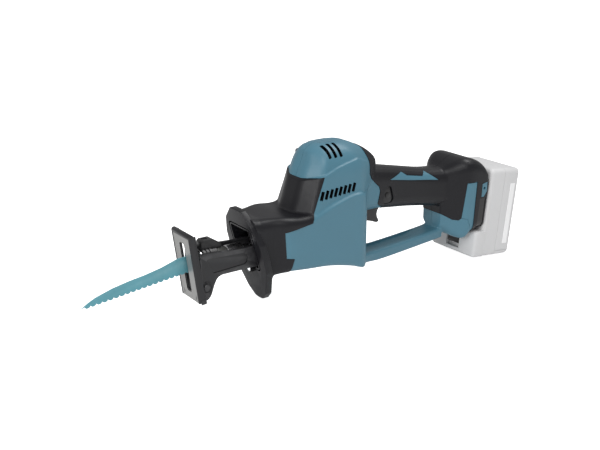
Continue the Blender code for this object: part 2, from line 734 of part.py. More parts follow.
def shoe():
    high = 31.8 * MM
    low = high - SHOE_HEIGHT * math.cos(SHOE_TILT)
    middle = (high + low) / 2
    plate = box(0, SHOE_THICKNESS, -SHOE_HALF_WIDTH, SHOE_HALF_WIDTH, -SHOE_HEIGHT / 2, SHOE_HEIGHT / 2)
    edge = SHOE_HALF_WIDTH
    ear_sheet = BRACKET_SHEET
    inner = BRACKET_HALF_WIDTH - BRACKET_SHEET - GAP
    side = [box(1 * MM, 8 * MM, s * edge if s < 0 else edge - 2 * MM, s * edge + 2 * MM if s < 0 else edge,
                -SHOE_HEIGHT / 2, SHOE_HEIGHT / 2) for s in (-1, 1)]
    roll = rod((2.6 * MM, -edge, SHOE_HEIGHT / 2), (2.6 * MM, edge, SHOE_HEIGHT / 2), 2.6 * MM, 16)
    plate = join(plate, *side, roll)
    plate = cut(plate, box(-5 * MM, 20 * MM, -3.6 * MM, 3.6 * MM, -27 * MM, 27 * MM))
    turn = Matrix.Rotation(-SHOE_TILT, 4, "Y")
    plate.data.transform(Matrix.Translation((shoe_plane(middle), 0, middle)) @ turn)
    ears = []
    for s in (-1, 1):
        y0, y1 = sorted((s * inner, s * (inner - ear_sheet)))
        outline = [(0.8, -38), (0.0, -14), (12, -18.5), (19, -23), (19, -30), (14, -34)]
        ears.append(prism(outline, y0, y1))
    plate = join(plate, *ears)
    pin_hole = rod((PIVOT.x, -FAR, PIVOT.z), (PIVOT.x, FAR, PIVOT.z), PIVOT_RADIUS + RUNNING, 24)
    finished(cut(plate, pin_hole), "shoe_plate", "blackened", PIVOT)


def shoe_pin():
    reach = BRACKET_HALF_WIDTH
    pin = rod((PIVOT.x, -reach - 1.2 * MM, PIVOT.z), (PIVOT.x, reach + 1.2 * MM, PIVOT.z), PIVOT_RADIUS, 24)
    heads = [
        rod((PIVOT.x, s * (reach + GAP), PIVOT.z), (PIVOT.x, s * (reach + 2 * MM), PIVOT.z), 4 * MM, 24)
        for s in (-1, 1)
    ]
    finished(join(pin, *heads), "shoe_pin", "steel", PIVOT)


BRACKET_OUTLINE = [
    (5.5, 11), (62, 7), (83, 6.5), (83, -16), (30, -16), (25, -18.5), (21.5, -25), (17.5, -36),
    (13.5, -40.5), (9, -40.5), (7, -35), (4, -10),
]


def shoe_bracket():
    outer = BRACKET_HALF_WIDTH
    inner = outer - BRACKET_SHEET
    sheet = BRACKET_SHEET
    body = prism(BRACKET_OUTLINE, -outer, -inner)
    far_side = prism(BRACKET_OUTLINE, inner, outer)
    web = box(33 * MM, 83 * MM, -outer + 0.5 * sheet, outer - 0.5 * sheet, -16 * MM, -16 * MM + sheet)
    body = join(body, far_side, web)
    hole = rod((PIVOT.x, -FAR, PIVOT.z), (PIVOT.x, FAR, PIVOT.z), PIVOT_RADIUS + RUNNING, 24)
    panel = [(12.5, 4.6), (58.5, 2.4), (62, -10.3), (20, -11.2)]
    press = prism(panel, -outer - 1 * MM, -outer + 0.5 * MM)
    press_far = prism(panel, outer - 0.5 * MM, outer + 1 * MM)
    finished(cut(body, hole, press, press_far), "shoe_bracket", "blackened")


BLADE_BACK_EDGE = [(-110, -18), (-102.8, -14.6), (-84.6, -9.2), (-48.7, -3.2), (-11, 6.3)]


def blade():
    """The blade tapers towards its tip; scalloped teeth run along its lower edge."""
    back = [(BLADE_TIP_X / MM, -23.1)] + BLADE_BACK_EDGE
    tang = [(8, 6.6), (8, 3.4), (31, 3.4), (31, -5.6), (8, -5.6), (8, -9.2)]
    teeth = []
    start, end = Vector((2.0, -9.6)), Vector((-114.0, -22.6))
    count = int((start - end).length * MM / TOOTH_PITCH)
    along = (end - start) / count
    across = Vector((along.y, -along.x)).normalized()
    for index in range(count):
        root = start + along * index
        for share, depth in ((0.0, 0.0), (0.35, -1.0), (0.7, -1.25), (0.9, 0.6)):
            teeth.append(tuple(root + along * share + across * depth))
    outline = back + tang + teeth
    half = BLADE_THICKNESS / 2
    body = prism(outline, -half, half)
    hole = rod((18 * MM, -5 * MM, -1 * MM), (18 * MM, 5 * MM, -1 * MM), CLAMP_PIN_RADIUS + GAP, 16)
    finished(cut(body, hole), "saw_blade", "blade")


CLAMP_PIN_RADIUS = 2.0 * MM
CLAMP_FRONT = 10.5 * MM
CLAMP_BACK = 44.0 * MM


def blade_clamp():
    """Sleeve that turns to free the blade, the body that it turns on, its pin, spring and front ring."""
    slot = BLADE_THICKNESS / 2 + GAP
    body = rod((CLAMP_FRONT, 0, 0), (CLAMP_BACK, 0, 0), CLAMP_BODY_RADIUS - 1 * MM, 32)
    shoulder = rod((31 * MM, 0, 0), (CLAMP_BACK, 0, 0), CLAMP_BODY_RADIUS + 1.5 * MM, 32)
    body = join(body, shoulder)
    groove = box(0, 32 * MM, -slot, slot, -11 * MM, 5 * MM)
    pin_hole = rod((18 * MM, 0, -1 * MM), (18 * MM, 14 * MM, -1 * MM), CLAMP_PIN_RADIUS + RUNNING, 16)
    socket = rod((36 * MM, 0, 0), (60 * MM, 0, 0), SHAFT_RADIUS + RUNNING, 32)
    cross = rod((40 * MM, -20 * MM, 0), (40 * MM, 20 * MM, 0), 1.6 * MM, 12)
    finished(cut(body, groove, pin_hole, socket, cross), "clamp_body", "steel")
    sleeve = rod((13.2 * MM, 0, 0), (30.6 * MM, 0, 0), CLAMP_RADIUS, 32)
    lug = box(13.2 * MM, 37 * MM, -6 * MM, 6 * MM, 8 * MM, 21.5 * MM, bevel=1.5 * MM)
    relief = rod((30.6 * MM, 0, 0), (40 * MM, 0, 0), CLAMP_BODY_RADIUS + 2.2 * MM, 32)
    sleeve = cut(join(sleeve, lug), relief)
    bore = rod((0, 0, 0), (60 * MM, 0, 0), CLAMP_BODY_RADIUS - 1 * MM + 0.25 * MM, 32)
    pocket = rod((23.5 * MM, 0, 0), (60 * MM, 0, 0), CLAMP_BODY_RADIUS + 1.2 * MM, 32)
    grooves = [
        cut(
            rod((x * MM, 0, 0), ((x + 1.4) * MM, 0, 0), CLAMP_RADIUS + 3 * MM, 32),
            rod(((x - 1) * MM, 0, 0), ((x + 3) * MM, 0, 0), CLAMP_RADIUS - 0.8 * MM, 32),
        )
        for x in (18.5,)
    ]
    finished(cut(sleeve, bore, pocket, *grooves), "clamp_sleeve", "blackened")
    ring_part("clamp_ring", "steel", "X", 11 * MM, 12.8 * MM, 11.5 * MM, CLAMP_BODY_RADIUS - 0.7 * MM)
    pin = rod((18 * MM, 1.2 * MM, -1 * MM), (18 * MM, 8 * MM, -1 * MM), CLAMP_PIN_RADIUS, 16)
    tip = rod((18 * MM, -0.4 * MM, -1 * MM), (18 * MM, 1.3 * MM, -1 * MM), CLAMP_PIN_RADIUS * 0.7, 16)
    finished(join(pin, tip), "clamp_pin", "steel")
    spring("clamp_spring", CLAMP_BODY_RADIUS + 0.1 * MM, 0.55 * MM, 24.5 * MM, 30.0 * MM, 3)
    reach = CLAMP_BODY_RADIUS + 1 * MM
    key = rod((40 * MM, -reach, 0), (40 * MM, reach, 0), 1.3 * MM, 12)
    finished(key, "clamp_cross_pin", "steel")


def spring(name, radius, wire, start, end, turns):
    curve = bpy.data.curves.new(name, "CURVE")
    curve.dimensions = "3D"
    curve.bevel_depth = wire
    curve.bevel_resolution = 1
    curve.use_fill_caps = True
    line = curve.splines.new("POLY")
    steps = turns * 12
    line.points.add(steps)
    for index, point in enumerate(line.points):
        angle = 2 * math.pi * index / 12
        x = start + (end - start) * index / steps
        point.co = (x, radius * math.cos(angle), radius * math.sin(angle), 1)
    obj = bpy.data.objects.new(name, curve)
    PARTS.objects.link(obj)
    obj.parent = FRAME
    curve.materials.append(material("steel"))


# ---------------------------------------------------------------- drive


def gear_outline(teeth, centre_x, phase):
    """Tooth tips and roots round a circle; flanks are straight."""
    radius = MODULE * teeth / 2
    tip = radius + 0.85 * MODULE
    root = radius - 1.25 * MODULE
    step = 2 * math.pi / teeth
    points = []
    for tooth in range(teeth):
        middle = phase + tooth * step
        for share, reach in ((-0.32, root), (-0.11, tip), (0.11, tip), (0.32, root)):
            angle = middle + share * step
            points.append(((centre_x + reach * math.cos(angle)) / MM, reach * math.sin(angle) / MM))
    return points


def slider():
    """The reciprocating shaft with its yoke, the bush that guides it and the seal in front."""
    shaft = rod((36.4 * MM, 0, 0), (126 * MM, 0, 0), SHAFT_RADIUS, 32)
    cross = rod((40 * MM, -20 * MM, 0), (40 * MM, 20 * MM, 0), 1.6 * MM, 12)
    finished(cut(shaft, cross), "slider_shaft", "steel")
    outer = SHAFT_RADIUS + BUSH_WALL
    ring_part("slider_bush", "brass", "X", 86 * MM, 112 * MM, outer, SHAFT_RADIUS + RUNNING)
    ring_part("dust_seal", "rubber", "X", 83.9 * MM, 85.6 * MM, outer + 2 * MM, SHAFT_RADIUS + GAP)
    rest_x = GEAR_X - STROKE / 2
    half_slot = CRANK_PIN_RADIUS + YOKE_SLACK
    reach = STROKE / 2 + CRANK_PIN_RADIUS + 2 * MM
    yoke = box(rest_x - half_slot - 5 * MM, rest_x + half_slot + 5 * MM, -reach - 4 * MM, reach + 4 * MM,
               -7 * MM, 7 * MM, bevel=1.2 * MM)
    neck = rod((rest_x - half_slot - 8 * MM, 0, 0), (rest_x - half_slot - 3 * MM, 0, 0), 6.8 * MM, 24)
    yoke = join(yoke, neck)
    slot = box(rest_x - half_slot, rest_x + half_slot, -reach, reach, -9 * MM, 9 * MM)
    socket = rod((100 * MM, 0, 0), (126.4 * MM, 0, 0), SHAFT_RADIUS + RUNNING, 32)
    finished(cut(yoke, slot, socket), "yoke", "steel")


def crank():
    pivot = (GEAR_X, 0, GEAR_BOTTOM)
    gear = gear_outline(GEAR_TEETH, GEAR_X, math.pi)
    gear = prism(gear, GEAR_BOTTOM, GEAR_BOTTOM + GEAR_WIDTH, plane="XY")
    shaft_hole = rod((GEAR_X, 0, 0), (GEAR_X, 0, 40 * MM), GEAR_SHAFT_RADIUS + RUNNING, 24)
    pin_x = GEAR_X - STROKE / 2
    pin_hole = rod((pin_x, 0, 0), (pin_x, 0, 40 * MM), 3 * MM + RUNNING, 20)
    recess = [
        rod((GEAR_X + 12 * MM * math.cos(a), 12 * MM * math.sin(a), 0),
            (GEAR_X + 12 * MM * math.cos(a), 12 * MM * math.sin(a), 40 * MM), 3 * MM, 12)
        for a in (0.0, math.pi / 3, -math.pi / 3)
    ]
    finished(cut(gear, shaft_hole, pin_hole, *recess), "crank_gear", "steel", pivot)
    pin = rod((pin_x, 0, -7 * MM), (pin_x, 0, GEAR_BOTTOM - GAP), CRANK_PIN_RADIUS, 24)
    pin = join(pin, rod((pin_x, 0, 5 * MM), (pin_x, 0, GEAR_BOTTOM + GEAR_WIDTH), 3 * MM, 20))
    finished(pin, "crank_pin", "steel", pivot)
    shaft = rod((GEAR_X, 0, GEAR_BOTTOM), (GEAR_X, 0, 34 * MM), GEAR_SHAFT_RADIUS, 24)
    finished(shaft, "crank_shaft", "steel", pivot)
    bore = GEAR_SHAFT_RADIUS + RUNNING
    ring_part("crank_bearing", "steel", "Z", 20.2 * MM, 28 * MM, 11 * MM, bore, (GEAR_X, 0, 0))


def motor():
    axis = (MOTOR_X, 0, 0)
    low = GEAR_BOTTOM - 1 * MM
    phase = math.pi / PINION_TEETH if GEAR_TEETH % 2 == 0 else 0
    teeth = gear_outline(PINION_TEETH, MOTOR_X, phase + math.pi)
    teeth = prism(teeth, low, GEAR_BOTTOM + GEAR_WIDTH + 1 * MM, plane="XY")
    bore = rod((MOTOR_X, 0, 0), (MOTOR_X, 0, 40 * MM), MOTOR_SHAFT_RADIUS + RUNNING, 16)
    finished(cut(teeth, bore), "motor_pinion", "steel", axis)
    shaft = rod((MOTOR_X, 0, low), (MOTOR_X, 0, 91 * MM), MOTOR_SHAFT_RADIUS, 16)
    finished(shaft, "motor_shaft", "steel", axis)
    sleeve = MOTOR_SHAFT_RADIUS + RUNNING
    rotor = STATOR_RADIUS * 0.5
    inside = (STATOR_LOW + 2 * MM, STATOR_HIGH - 2 * MM)
    ring_part("motor_rotor", "steel", "Z", *inside, rotor, sleeve, axis, 24, axis)
    ring_part("motor_bearing_lower", "steel", "Z", 31 * MM, 38 * MM, 11 * MM, sleeve, axis, 24)
    ring_part("motor_bearing_upper", "steel", "Z", 84.5 * MM, 90.5 * MM, 8 * MM, sleeve, axis, 24)
    outer = rod((MOTOR_X, 0, STATOR_LOW), (MOTOR_X, 0, STATOR_HIGH), STATOR_RADIUS, 32)
    hole = rod((MOTOR_X, 0, 0), (MOTOR_X, 0, 100 * MM), rotor + 0.6 * MM, 24)
    slots = []
    for index in range(6):
        angle = math.pi / 6 + index * math.pi / 3
        slot = box(rotor, STATOR_RADIUS - 4 * MM, -2.6 * MM, 2.6 * MM,
                   STATOR_LOW - 1 * MM, STATOR_HIGH + 1 * MM)
        slot.data.transform(Matrix.Translation(axis) @ Matrix.Rotation(angle, 4, "Z"))
        slots.append(slot)
    finished(cut(outer, hole, *slots), "motor_stator", "blackened")
    rim = STATOR_RADIUS * 0.9
    fan = ring_part("motor_fan", "black", "Z", 74 * MM, 76 * MM, rim, sleeve, axis, 24, axis)
    blades = []
    for index in range(9):
        vane = box(5 * MM, rim - 0.7 * MM, -0.6 * MM, 0.6 * MM, 75 * MM, 81 * MM)
        vane.data.transform(Matrix.Rotation(index * 2 * math.pi / 9, 4, "Z"))
        vane.location = axis
        blades.append(vane)
    join(fan, *blades)
    fan.data.materials.clear()
    fan.data.materials.append(material("black"))
    ring_part("circuit_ring", "board", "Z", 40.5 * MM, 42 * MM, STATOR_RADIUS - 2 * MM, 12.5 * MM, axis, 24)


def gear_case():
    """The cast case in the nose: it holds the slider bush, the crank bearing and the lamp wiring."""
    skin_gap = WALL + 2.8 * MM
    outer = lower_body(skin_gap)
    trim = box(88 * MM, 172 * MM, -FAR, FAR, -FAR, 29.5 * MM)
    outer = keep(outer, trim)
    inner = keep(lower_body(skin_gap + 3 * MM), box(92 * MM, FAR, -FAR, FAR, -FAR, 26 * MM))
    case = cut(outer, inner)
    boss = rod((86.2 * MM, 0, 0), (112 * MM, 0, 0), SHAFT_RADIUS + BUSH_WALL + 4 * MM, 32)
    seat = rod((GEAR_X, 0, 19.8 * MM), (GEAR_X, 0, 29.4 * MM), 14.5 * MM, 32)
    case = join(case, boss, seat)
    bush = rod((60 * MM, 0, 0), (130 * MM, 0, 0), SHAFT_RADIUS + BUSH_WALL + GAP, 32)
    bearing = rod((GEAR_X, 0, 10 * MM), (GEAR_X, 0, 28.3 * MM), 11 * MM + GAP, 32)
    through = rod((GEAR_X, 0, 10 * MM), (GEAR_X, 0, 60 * MM), GEAR_SHAFT_RADIUS + 1 * MM, 24)
    finished(cut(case, bush, bearing, through), "gear_case", "aluminium")


# ---------------------------------------------------------------- controls and electrics

def controls():
    trigger = prism(TRIGGER_OUTLINE, -TRIGGER_HALF_WIDTH, TRIGGER_HALF_WIDTH)
    finished(trigger, "trigger", "black")
    body = box(212 * MM, 243 * MM, -12 * MM, 12 * MM, 33.5 * MM, 56 * MM, bevel=1 * MM)
    finished(body, "switch_body", "black")
    reach = GRIP_HALF_WIDTH + 1.4 * MM
    bolt = rod((LOCK_X, -reach, LOCK_Z), (LOCK_X, reach, LOCK_Z), LOCK_RADIUS, 20)
    finished(bolt, "lock_button", "black", (LOCK_X, 0, LOCK_Z))
    board = box(353 * MM, 370 * MM, -22 * MM, 22 * MM, -22 * MM, 36 * MM, bevel=1.5 * MM)
    finished(board, "controller", "board")
    back_wall = PACK_FRONT_V - GAP - WALL
    plate_back = back_wall - 9 * MM - GAP
    plate = pack_box(plate_back - 5 * MM, plate_back, -27 * MM, 27 * MM, 12 * MM, 72 * MM, bevel=0.8 * MM)
    for s in (-1, 1):
        plate = cut(plate, pack_box(plate_back - 9 * MM, plate_back + 1 * MM, s * 12 * MM - 1 * MM,
                                    s * 12 * MM + 1 * MM, 49 * MM, 69 * MM))
    finished(plate, "terminal_block", "black")
    for s, name in ((-1, "terminal_plus"), (1, "terminal_minus")):
        tab = pack_box(plate_back - 4 * MM, plate_back + 6 * MM, s * 12 * MM - 0.5 * MM,
                       s * 12 * MM + 0.5 * MM, 51 * MM, 67 * MM)
        finished(tab, name, "brass")


# ---------------------------------------------------------------- battery pack


def battery():
    front, back, low, high = PACK_FRONT_V, PACK_BACK_V, PACK_LOW_U, PACK_TOP_U
    width = PACK_HALF_WIDTH
    split = front + 24 * MM
    foot_top = 7.0 * MM
    outline = [
        (PACK_FOOT_V, low), (back, low), (back, high), (front, high), (front, foot_top),
        (PACK_FOOT_V, foot_top),
    ]
    outline = [(v / MM, u / MM) for v, u in outline]
    radii = (5, PACK_LOW_RADIUS / MM, PACK_TOP_RADIUS / MM, 5, 0, 4)
    whole = soft_prism(rounded(outline, radii), -width, width, 3 * MM, "pack")
    whole.data.transform(Matrix.Rotation(PACK_LEAN, 4, "Y"))
    rail_high = 74 * MM
    head_front = front - GAP - WALL - 8.6 * MM
    head_back = front - GAP - WALL - 0.9 * MM
    tee = [
        (head_front, RAIL_HEAD), (head_back, RAIL_HEAD), (head_back, RAIL_NECK),
        (front + 7 * MM, RAIL_NECK),
    ]
    tee = [(v / MM, y / MM) for v, y in tee]
    rail = prism(tee + [(v, -y) for v, y in reversed(tee)], 2 * MM, rail_high, plane="XY")
    rail.data.transform(Matrix.Rotation(PACK_LEAN, 4, "Y"))
    whole = join(whole, rail)
    case = cut(copy_of(whole, "pack_case"), pack_box(0, split + SEAM, -FAR, FAR, -FAR, FAR))
    cover = cut(whole, pack_box(split - SEAM, 2 * FAR, -FAR, FAR, -FAR, FAR))
    wall = PACK_WALL
    pocket = pack_box(PACK_FOOT_V - 5 * MM, PACK_FOOT_V + 6 * MM, -11 * MM, 11 * MM, -21 * MM, 3 * MM)
    slots = [
        pack_box(head_front - 5 * MM, front + 1 * MM, s * 12 * MM - 1.2 * MM, s * 12 * MM + 1.2 * MM,
                 48 * MM, 90 * MM)
        for s in (-1, 1)
    ]
    cut(cover, pocket, *slots)
    for half in (cover, case):
        cut(half, pack_box(front + wall, back - wall, -width + wall, width - wall, low + wall, high - wall))
    finished(cover, "battery_cover", "pack")
    finished(case, "battery_case", "pack")
    cells = None
    pitch = 2 * CELL_RADIUS + 0.4 * MM
    for row in range(5):
        for layer in range(2):
            u = low + wall + 7 * MM + CELL_RADIUS + row * pitch
            v = front + wall + 3.4 * MM + CELL_RADIUS + layer * pitch
            cell = rod((v, -32.5 * MM, u), (v, 32.5 * MM, u), CELL_RADIUS, 12)
            cell.data.transform(Matrix.Rotation(PACK_LEAN, 4, "Y"))
            cells = cell if cells is None else join(cells, cell)
    v = front + wall + 3.4 * MM + 2 * CELL_RADIUS
    u = low + wall + 7 * MM + CELL_RADIUS
    holder = pack_box(v - 7 * MM, v + 7 * MM, -30 * MM, 30 * MM, u - 2 * MM, u + 4 * pitch + 2 * MM)
    finished(join(cells, holder), "battery_cells", "cell")
    button = pack_box(PACK_FOOT_V + 0.8 * MM, PACK_FOOT_V + 5.4 * MM, -10.4 * MM, 10.4 * MM,
                      -15.6 * MM, 2.4 * MM, bevel=0.8 * MM)
    finished(button, "battery_button", "black")


# ---------------------------------------------------------------- fasteners


def screws():
    for key in SCREW_PLACES:
        x, z, face = SCREW_PLACES[key]
        inner = 2.2 * MM
        length = min(face + 1.5 * MM, 24 * MM)
        head = rod((x, face - inner, z), (x, face - inner + 1.8 * MM, z), 3.1 * MM, 12)
        shank = rod((x, face - inner - length + 4 * MM, z), (x, face - inner + 0.5 * MM, z), 1.6 * MM, 12)
        socket = rod((x, face - inner + 0.8 * MM, z), (x, face + 5 * MM, z), 1.4 * MM, 6)
        finished(cut(join(head, shank), socket), "housing_screw_" + key, "steel")


def main():
    shell = skin()
    grips(shell)
    front_boot(copy_of(shell))
    housing(shell)
    lamp()
    shoe()
    shoe_pin()
    shoe_bracket()
    blade()
    blade_clamp()
    slider()
    crank()
    motor()
    gear_case()
    controls()
    battery()
    screws()


clear_scene()
PARTS = collection("reciprocating_saw")
CUTTERS = collection("cutters")
FRAME = bpy.data.objects.new("tool_frame", None)
PARTS.objects.link(FRAME)
FRAME.location = (-MID_X, 0, -BASE_Z)
bpy.context.view_layer.update()
main()
for leftover in list(CUTTERS.objects):
    bpy.data.objects.remove(leftover)
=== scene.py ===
import math

import bmesh
import bpy
from mathutils import Matrix, Vector


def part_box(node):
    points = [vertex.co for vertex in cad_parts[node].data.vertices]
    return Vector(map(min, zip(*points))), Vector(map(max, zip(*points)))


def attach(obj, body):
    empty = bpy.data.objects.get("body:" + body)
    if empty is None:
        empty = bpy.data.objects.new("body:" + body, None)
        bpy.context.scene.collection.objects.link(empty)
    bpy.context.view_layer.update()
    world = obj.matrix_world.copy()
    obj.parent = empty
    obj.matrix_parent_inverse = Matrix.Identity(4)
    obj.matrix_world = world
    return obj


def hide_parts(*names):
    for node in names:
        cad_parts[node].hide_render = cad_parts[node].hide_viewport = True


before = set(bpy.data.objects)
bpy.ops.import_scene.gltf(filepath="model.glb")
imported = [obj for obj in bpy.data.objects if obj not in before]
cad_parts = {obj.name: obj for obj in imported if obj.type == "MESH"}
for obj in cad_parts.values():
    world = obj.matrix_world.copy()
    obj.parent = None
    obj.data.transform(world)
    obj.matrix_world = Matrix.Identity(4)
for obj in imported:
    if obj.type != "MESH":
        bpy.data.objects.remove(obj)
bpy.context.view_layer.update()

MM = 0.001

# Shapes are drawn in millimetres in the tool's own frame: X back from the blade along the stroke axis,
# Z up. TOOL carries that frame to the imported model's.
BLADE_TIP = -118.7
TOOL = Vector((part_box("saw_blade")[0].x - BLADE_TIP * MM, 0,
               (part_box("slider_shaft")[0].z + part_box("slider_shaft")[1].z) / 2))
PACK_LEAN = math.radians(6.1)
PACK_TURN = Matrix.Rotation(PACK_LEAN, 4, "Y")
FORM_VOXEL = 0.9
SEAM = 0.15
PROUD = 0.55
WALL = 3.0
SHOE_LEAN = math.radians(7.5)
SIDE_VENTS, SIDE_VENT_PITCH, SIDE_VENT_RISE, SIDE_VENT_LEAN = 8, 6.1, 0.45, 0.32
TOP_VENTS, TOP_VENT_PITCH, TOP_VENT_TURN = 3, 7.5, 0.12
GROUND_LIT, GROUND_SEEN = 0.12, 0.85
SKY_LIT, SKY_SEEN = 0.42, 1.0
CAMERA_TURN, CAMERA_RISE = math.radians(-35.185), math.radians(18.815)
CAMERA_DISTANCE, CAMERA_LENS, CAMERA_SENSOR = 1.016, 55.2, 36
CAMERA_AIM = Vector((140.54, 0, 12.49))

BODY_SECTIONS = (
    (73.0, -0.27, 27.0, -31.0, 37.0, 11.0, 10.0),
    (88.0, -0.10, 31.0, -27.5, 37.0, 9.5, 9.0),
    (103.0, 0.0, 37.2, -25.0, 36.5, 9.0, 8.0),
    (128.0, 0.0, 38.0, -27.0, 34.5, 8.0, 7.0),
    (157.0, 0.0, 38.8, -29.5, 41.5, 3.0, 7.0),
    (186.0, 0.0, 38.8, -36.0, 49.0, 2.5, 7.0),
    (202.0, 0.0, 38.0, -41.0, 48.0, 3.5, 4.0),
    (211.0, 0.0, 31.0, -42.5, 40.0, 6.0, 5.0),
)
HUMP_PLANS = (
    (16.0, 112.0, 11.0, 130.0, 37.2, 200.0, 216.0, 20.0),
    (36.0, 123.0, 12.0, 135.5, 34.4, 200.0, 220.0, 18.5),
    (60.0, 131.0, 12.5, 144.0, 32.8, 200.0, 232.0, 17.0),
    (76.0, 136.5, 12.5, 149.0, 31.8, 199.0, 236.0, 15.0),
    (88.0, 142.0, 12.0, 152.5, 28.8, 196.0, 225.0, 14.0),
    (97.0, 145.5, 10.0, 157.0, 23.0, 190.0, 210.0, 12.0),
    (102.3, 153.0, 7.5, 163.0, 15.5, 185.0, 198.0, 9.0),
    (104.3, 160.0, 5.0, 168.0, 9.0, 181.0, 189.0, 6.0),
)
GRIP_SECTIONS = (
    (200.0, 0.0, 20.5, 14.0, 75.0, 17.0, 15.0),
    (240.0, 0.0, 18.7, 14.6, 66.8, 16.0, 14.0),
    (262.0, 0.0, 17.7, 12.2, 62.2, 15.0, 13.5),
    (290.0, 0.0, 17.5, 8.8, 56.4, 15.0, 13.5),
    (314.0, 0.0, 18.1, 5.0, 51.4, 15.0, 13.5),
    (336.0, 0.0, 19.9, 1.4, 48.5, 15.0, 13.5),
    (352.0, 0.0, 20.5, 0.0, 48.0, 15.0, 13.5),
)
CAP_SECTIONS = (
    (338.0, 0.0, 15.5, -26.5, 46.0, 8.0, 8.0),
    (345.0, 0.0, 20.5, -31.5, 49.5, 10.0, 9.0),
    (352.0, 0.0, 27.0, -37.0, 54.0, 12.0, 10.0),
    (359.0, 0.0, 32.0, -40.5, 57.5, 13.0, 11.0),
    (366.0, 0.0, 35.4, -42.0, 59.4, 14.0, 12.0),
    (374.5, 0.03, 36.5, -35.0, 58.4, 14.0, 12.0),
    (385.5, 0.06, 36.5, -33.0, 52.5, 13.0, 12.0),
    (392.6, 0.09, 36.3, -32.3, 43.5, 11.0, 11.0),
    (396.2, 0.1069, 35.7, -31.5, 31.0, 9.0, 9.0),
)
BAR_SECTIONS = (
    (190.0, 0.0, 32.0, -37.0, -28.0, 4.0, 5.0),
    (203.0, 0.0, 34.0, -41.2, -31.0, 4.0, 4.0),
    (213.0, 0.0, 26.0, -44.5, -33.2, 4.0, 4.0),
    (225.0, 0.0, 17.6, -46.6, -33.7, 4.0, 4.0),
    (253.0, 0.0, 14.5, -48.2, -33.3, 4.0, 4.0),
    (320.0, 0.0, 14.5, -43.0, -28.8, 4.0, 4.0),
    (345.0, 0.0, 14.0, -41.0, -25.5, 4.0, 4.0),
)
BOOT_EDGE = (
    (40, -80), (102, -80), (102, -26), (107.5, -9), (98.5, -7.5), (97, 21.5), (131, 26.5),
    (149.5, 73), (134.5, 69.5), (125, 67.5), (110, 90), (40, 90),
)
GRIP_EDGE = (
    (210, 100), (219.5, 77), (220, 63.5), (226, 55.5), (233, 48.5), (238, 44), (239.3, 39), (237.6, 31),
    (236.5, 24.5), (240, 21), (246, 18.5), (246.5, 12), (249, -5), (333, -5), (340, -8.5), (350, -15),
    (356, -15.6), (358.5, -13), (363, 31), (377.6, 31), (372.5, -60), (440, -60), (440, 110),
)
LOCK_EDGE = ((248.2, 42), (256, 42), (260.6, 26), (257, 21.5), (247.2, 21.5), (243.8, 26))
STRIP_EDGE = ((358.8, -13), (363.3, 30.6), (377.2, 30.6), (373.2, -30), (371.8, -30.2), (366, -15))
PANEL_EDGE = ((380.2, -28), (383.6, 8.5), (393.2, 8.5), (390.2, -28))
TAB_EDGE = ((385.6, 10.5), (386.4, 27), (394.6, 28.5), (395, 17), (389.5, 10))
WINDOW_EDGE = ((-19, -18.5), (19, -18.5), (19, 25), (-19, 25))
EAR_EDGE = ((0.8, -38), (0, -14), (12, -18.5), (19, -23), (19, -30), (14, -34))
SLOT_EDGE = ((-4.3, -27), (4.3, -27), (4.3, 27), (-4.3, 27))
BRACKET_EDGE = ((5.5, 11), (62, 7), (83, 6.5), (83, -16), (30, -16), (25, -18.5), (21.5, -25),
                (17.5, -36), (13.5, -40.5), (9, -40.5), (7, -35), (4, -10))
LIP_EDGE = ((8, 11), (62, 7.2), (83, 6.7), (83, 5.0), (62, 5.4), (8, 9.1))
RIB_EDGE = ((5.2, 7), (7.2, 7), (9.6, -22), (10.2, -38), (8.6, -38), (7.4, -22))
BRACKET_PANEL = ((12.5, 4.6), (58.5, 2.4), (63, -3), (61, -10.3), (20, -12.4))
BLADE_BACK = ((-118.7, -23.1), (-110, -18), (-102.8, -14.6), (-84.6, -9.2), (-66, -5.6), (-48.7, -3.2),
              (-30, 0.6), (-11, 6.3), (8, 6.6), (8, 3.4), (31, 3.4), (31, -5.6), (8, -5.6), (8, -9.6))
TRIGGER_EDGE = ((216, 26), (216, 10.5), (219, 4.5), (227, 3.4), (236, 0.8), (243, -2), (246, -1.2),
                (246.4, 0.8), (244, 4.4), (243.2, 8.6), (244.4, 13), (248, 18), (243, 24.5), (240, 26))
INLAY_EDGE = ((254, 49.5), (274.5, 55.2), (281.5, 50.2), (306, 45.4), (312, 50),
              (329.5, 37.5), (290, 43.2))


# ---------------------------------------------------------------- shaping


def as_object(bm, name="form"):
    """The bmesh, with its faces turned outwards, as an object in the scene."""
    bmesh.ops.recalc_face_normals(bm, faces=bm.faces)
    mesh = bpy.data.meshes.new(name)
    bm.to_mesh(mesh)
    bm.free()
    made = bpy.data.objects.new(name, mesh)
    bpy.context.scene.collection.objects.link(made)
    return made


def duplicate(form):
    made = bpy.data.objects.new(form.name, form.data.copy())
    bpy.context.scene.collection.objects.link(made)
    return made


def applied(form):
    """Applies the form's modifiers to its mesh."""
    bpy.context.view_layer.update()
    evaluated = form.evaluated_get(bpy.context.evaluated_depsgraph_get())
    mesh = bpy.data.meshes.new_from_object(evaluated)
    form.modifiers.clear()
    form.data = mesh
    return form


def boolean(form, operation, *tools):
    for tool in tools:
        step = form.modifiers.new(operation, "BOOLEAN")
        step.operation = operation
        step.object = tool
        step.solver = "EXACT"
    applied(form)
    for tool in tools:
        bpy.data.objects.remove(tool)
    return form


def less(form, *tools):
    return boolean(form, "DIFFERENCE", *tools)


def within(form, tool):
    return boolean(form, "INTERSECT", tool)


def plus(form, *tools):
    return boolean(form, "UNION", *tools)


def together(*forms):
    """One object that holds all the forms, still overlapping."""
    bm = bmesh.new()
    for form in forms:
        bm.from_mesh(form.data)
        bpy.data.objects.remove(form)
    return as_object(bm)


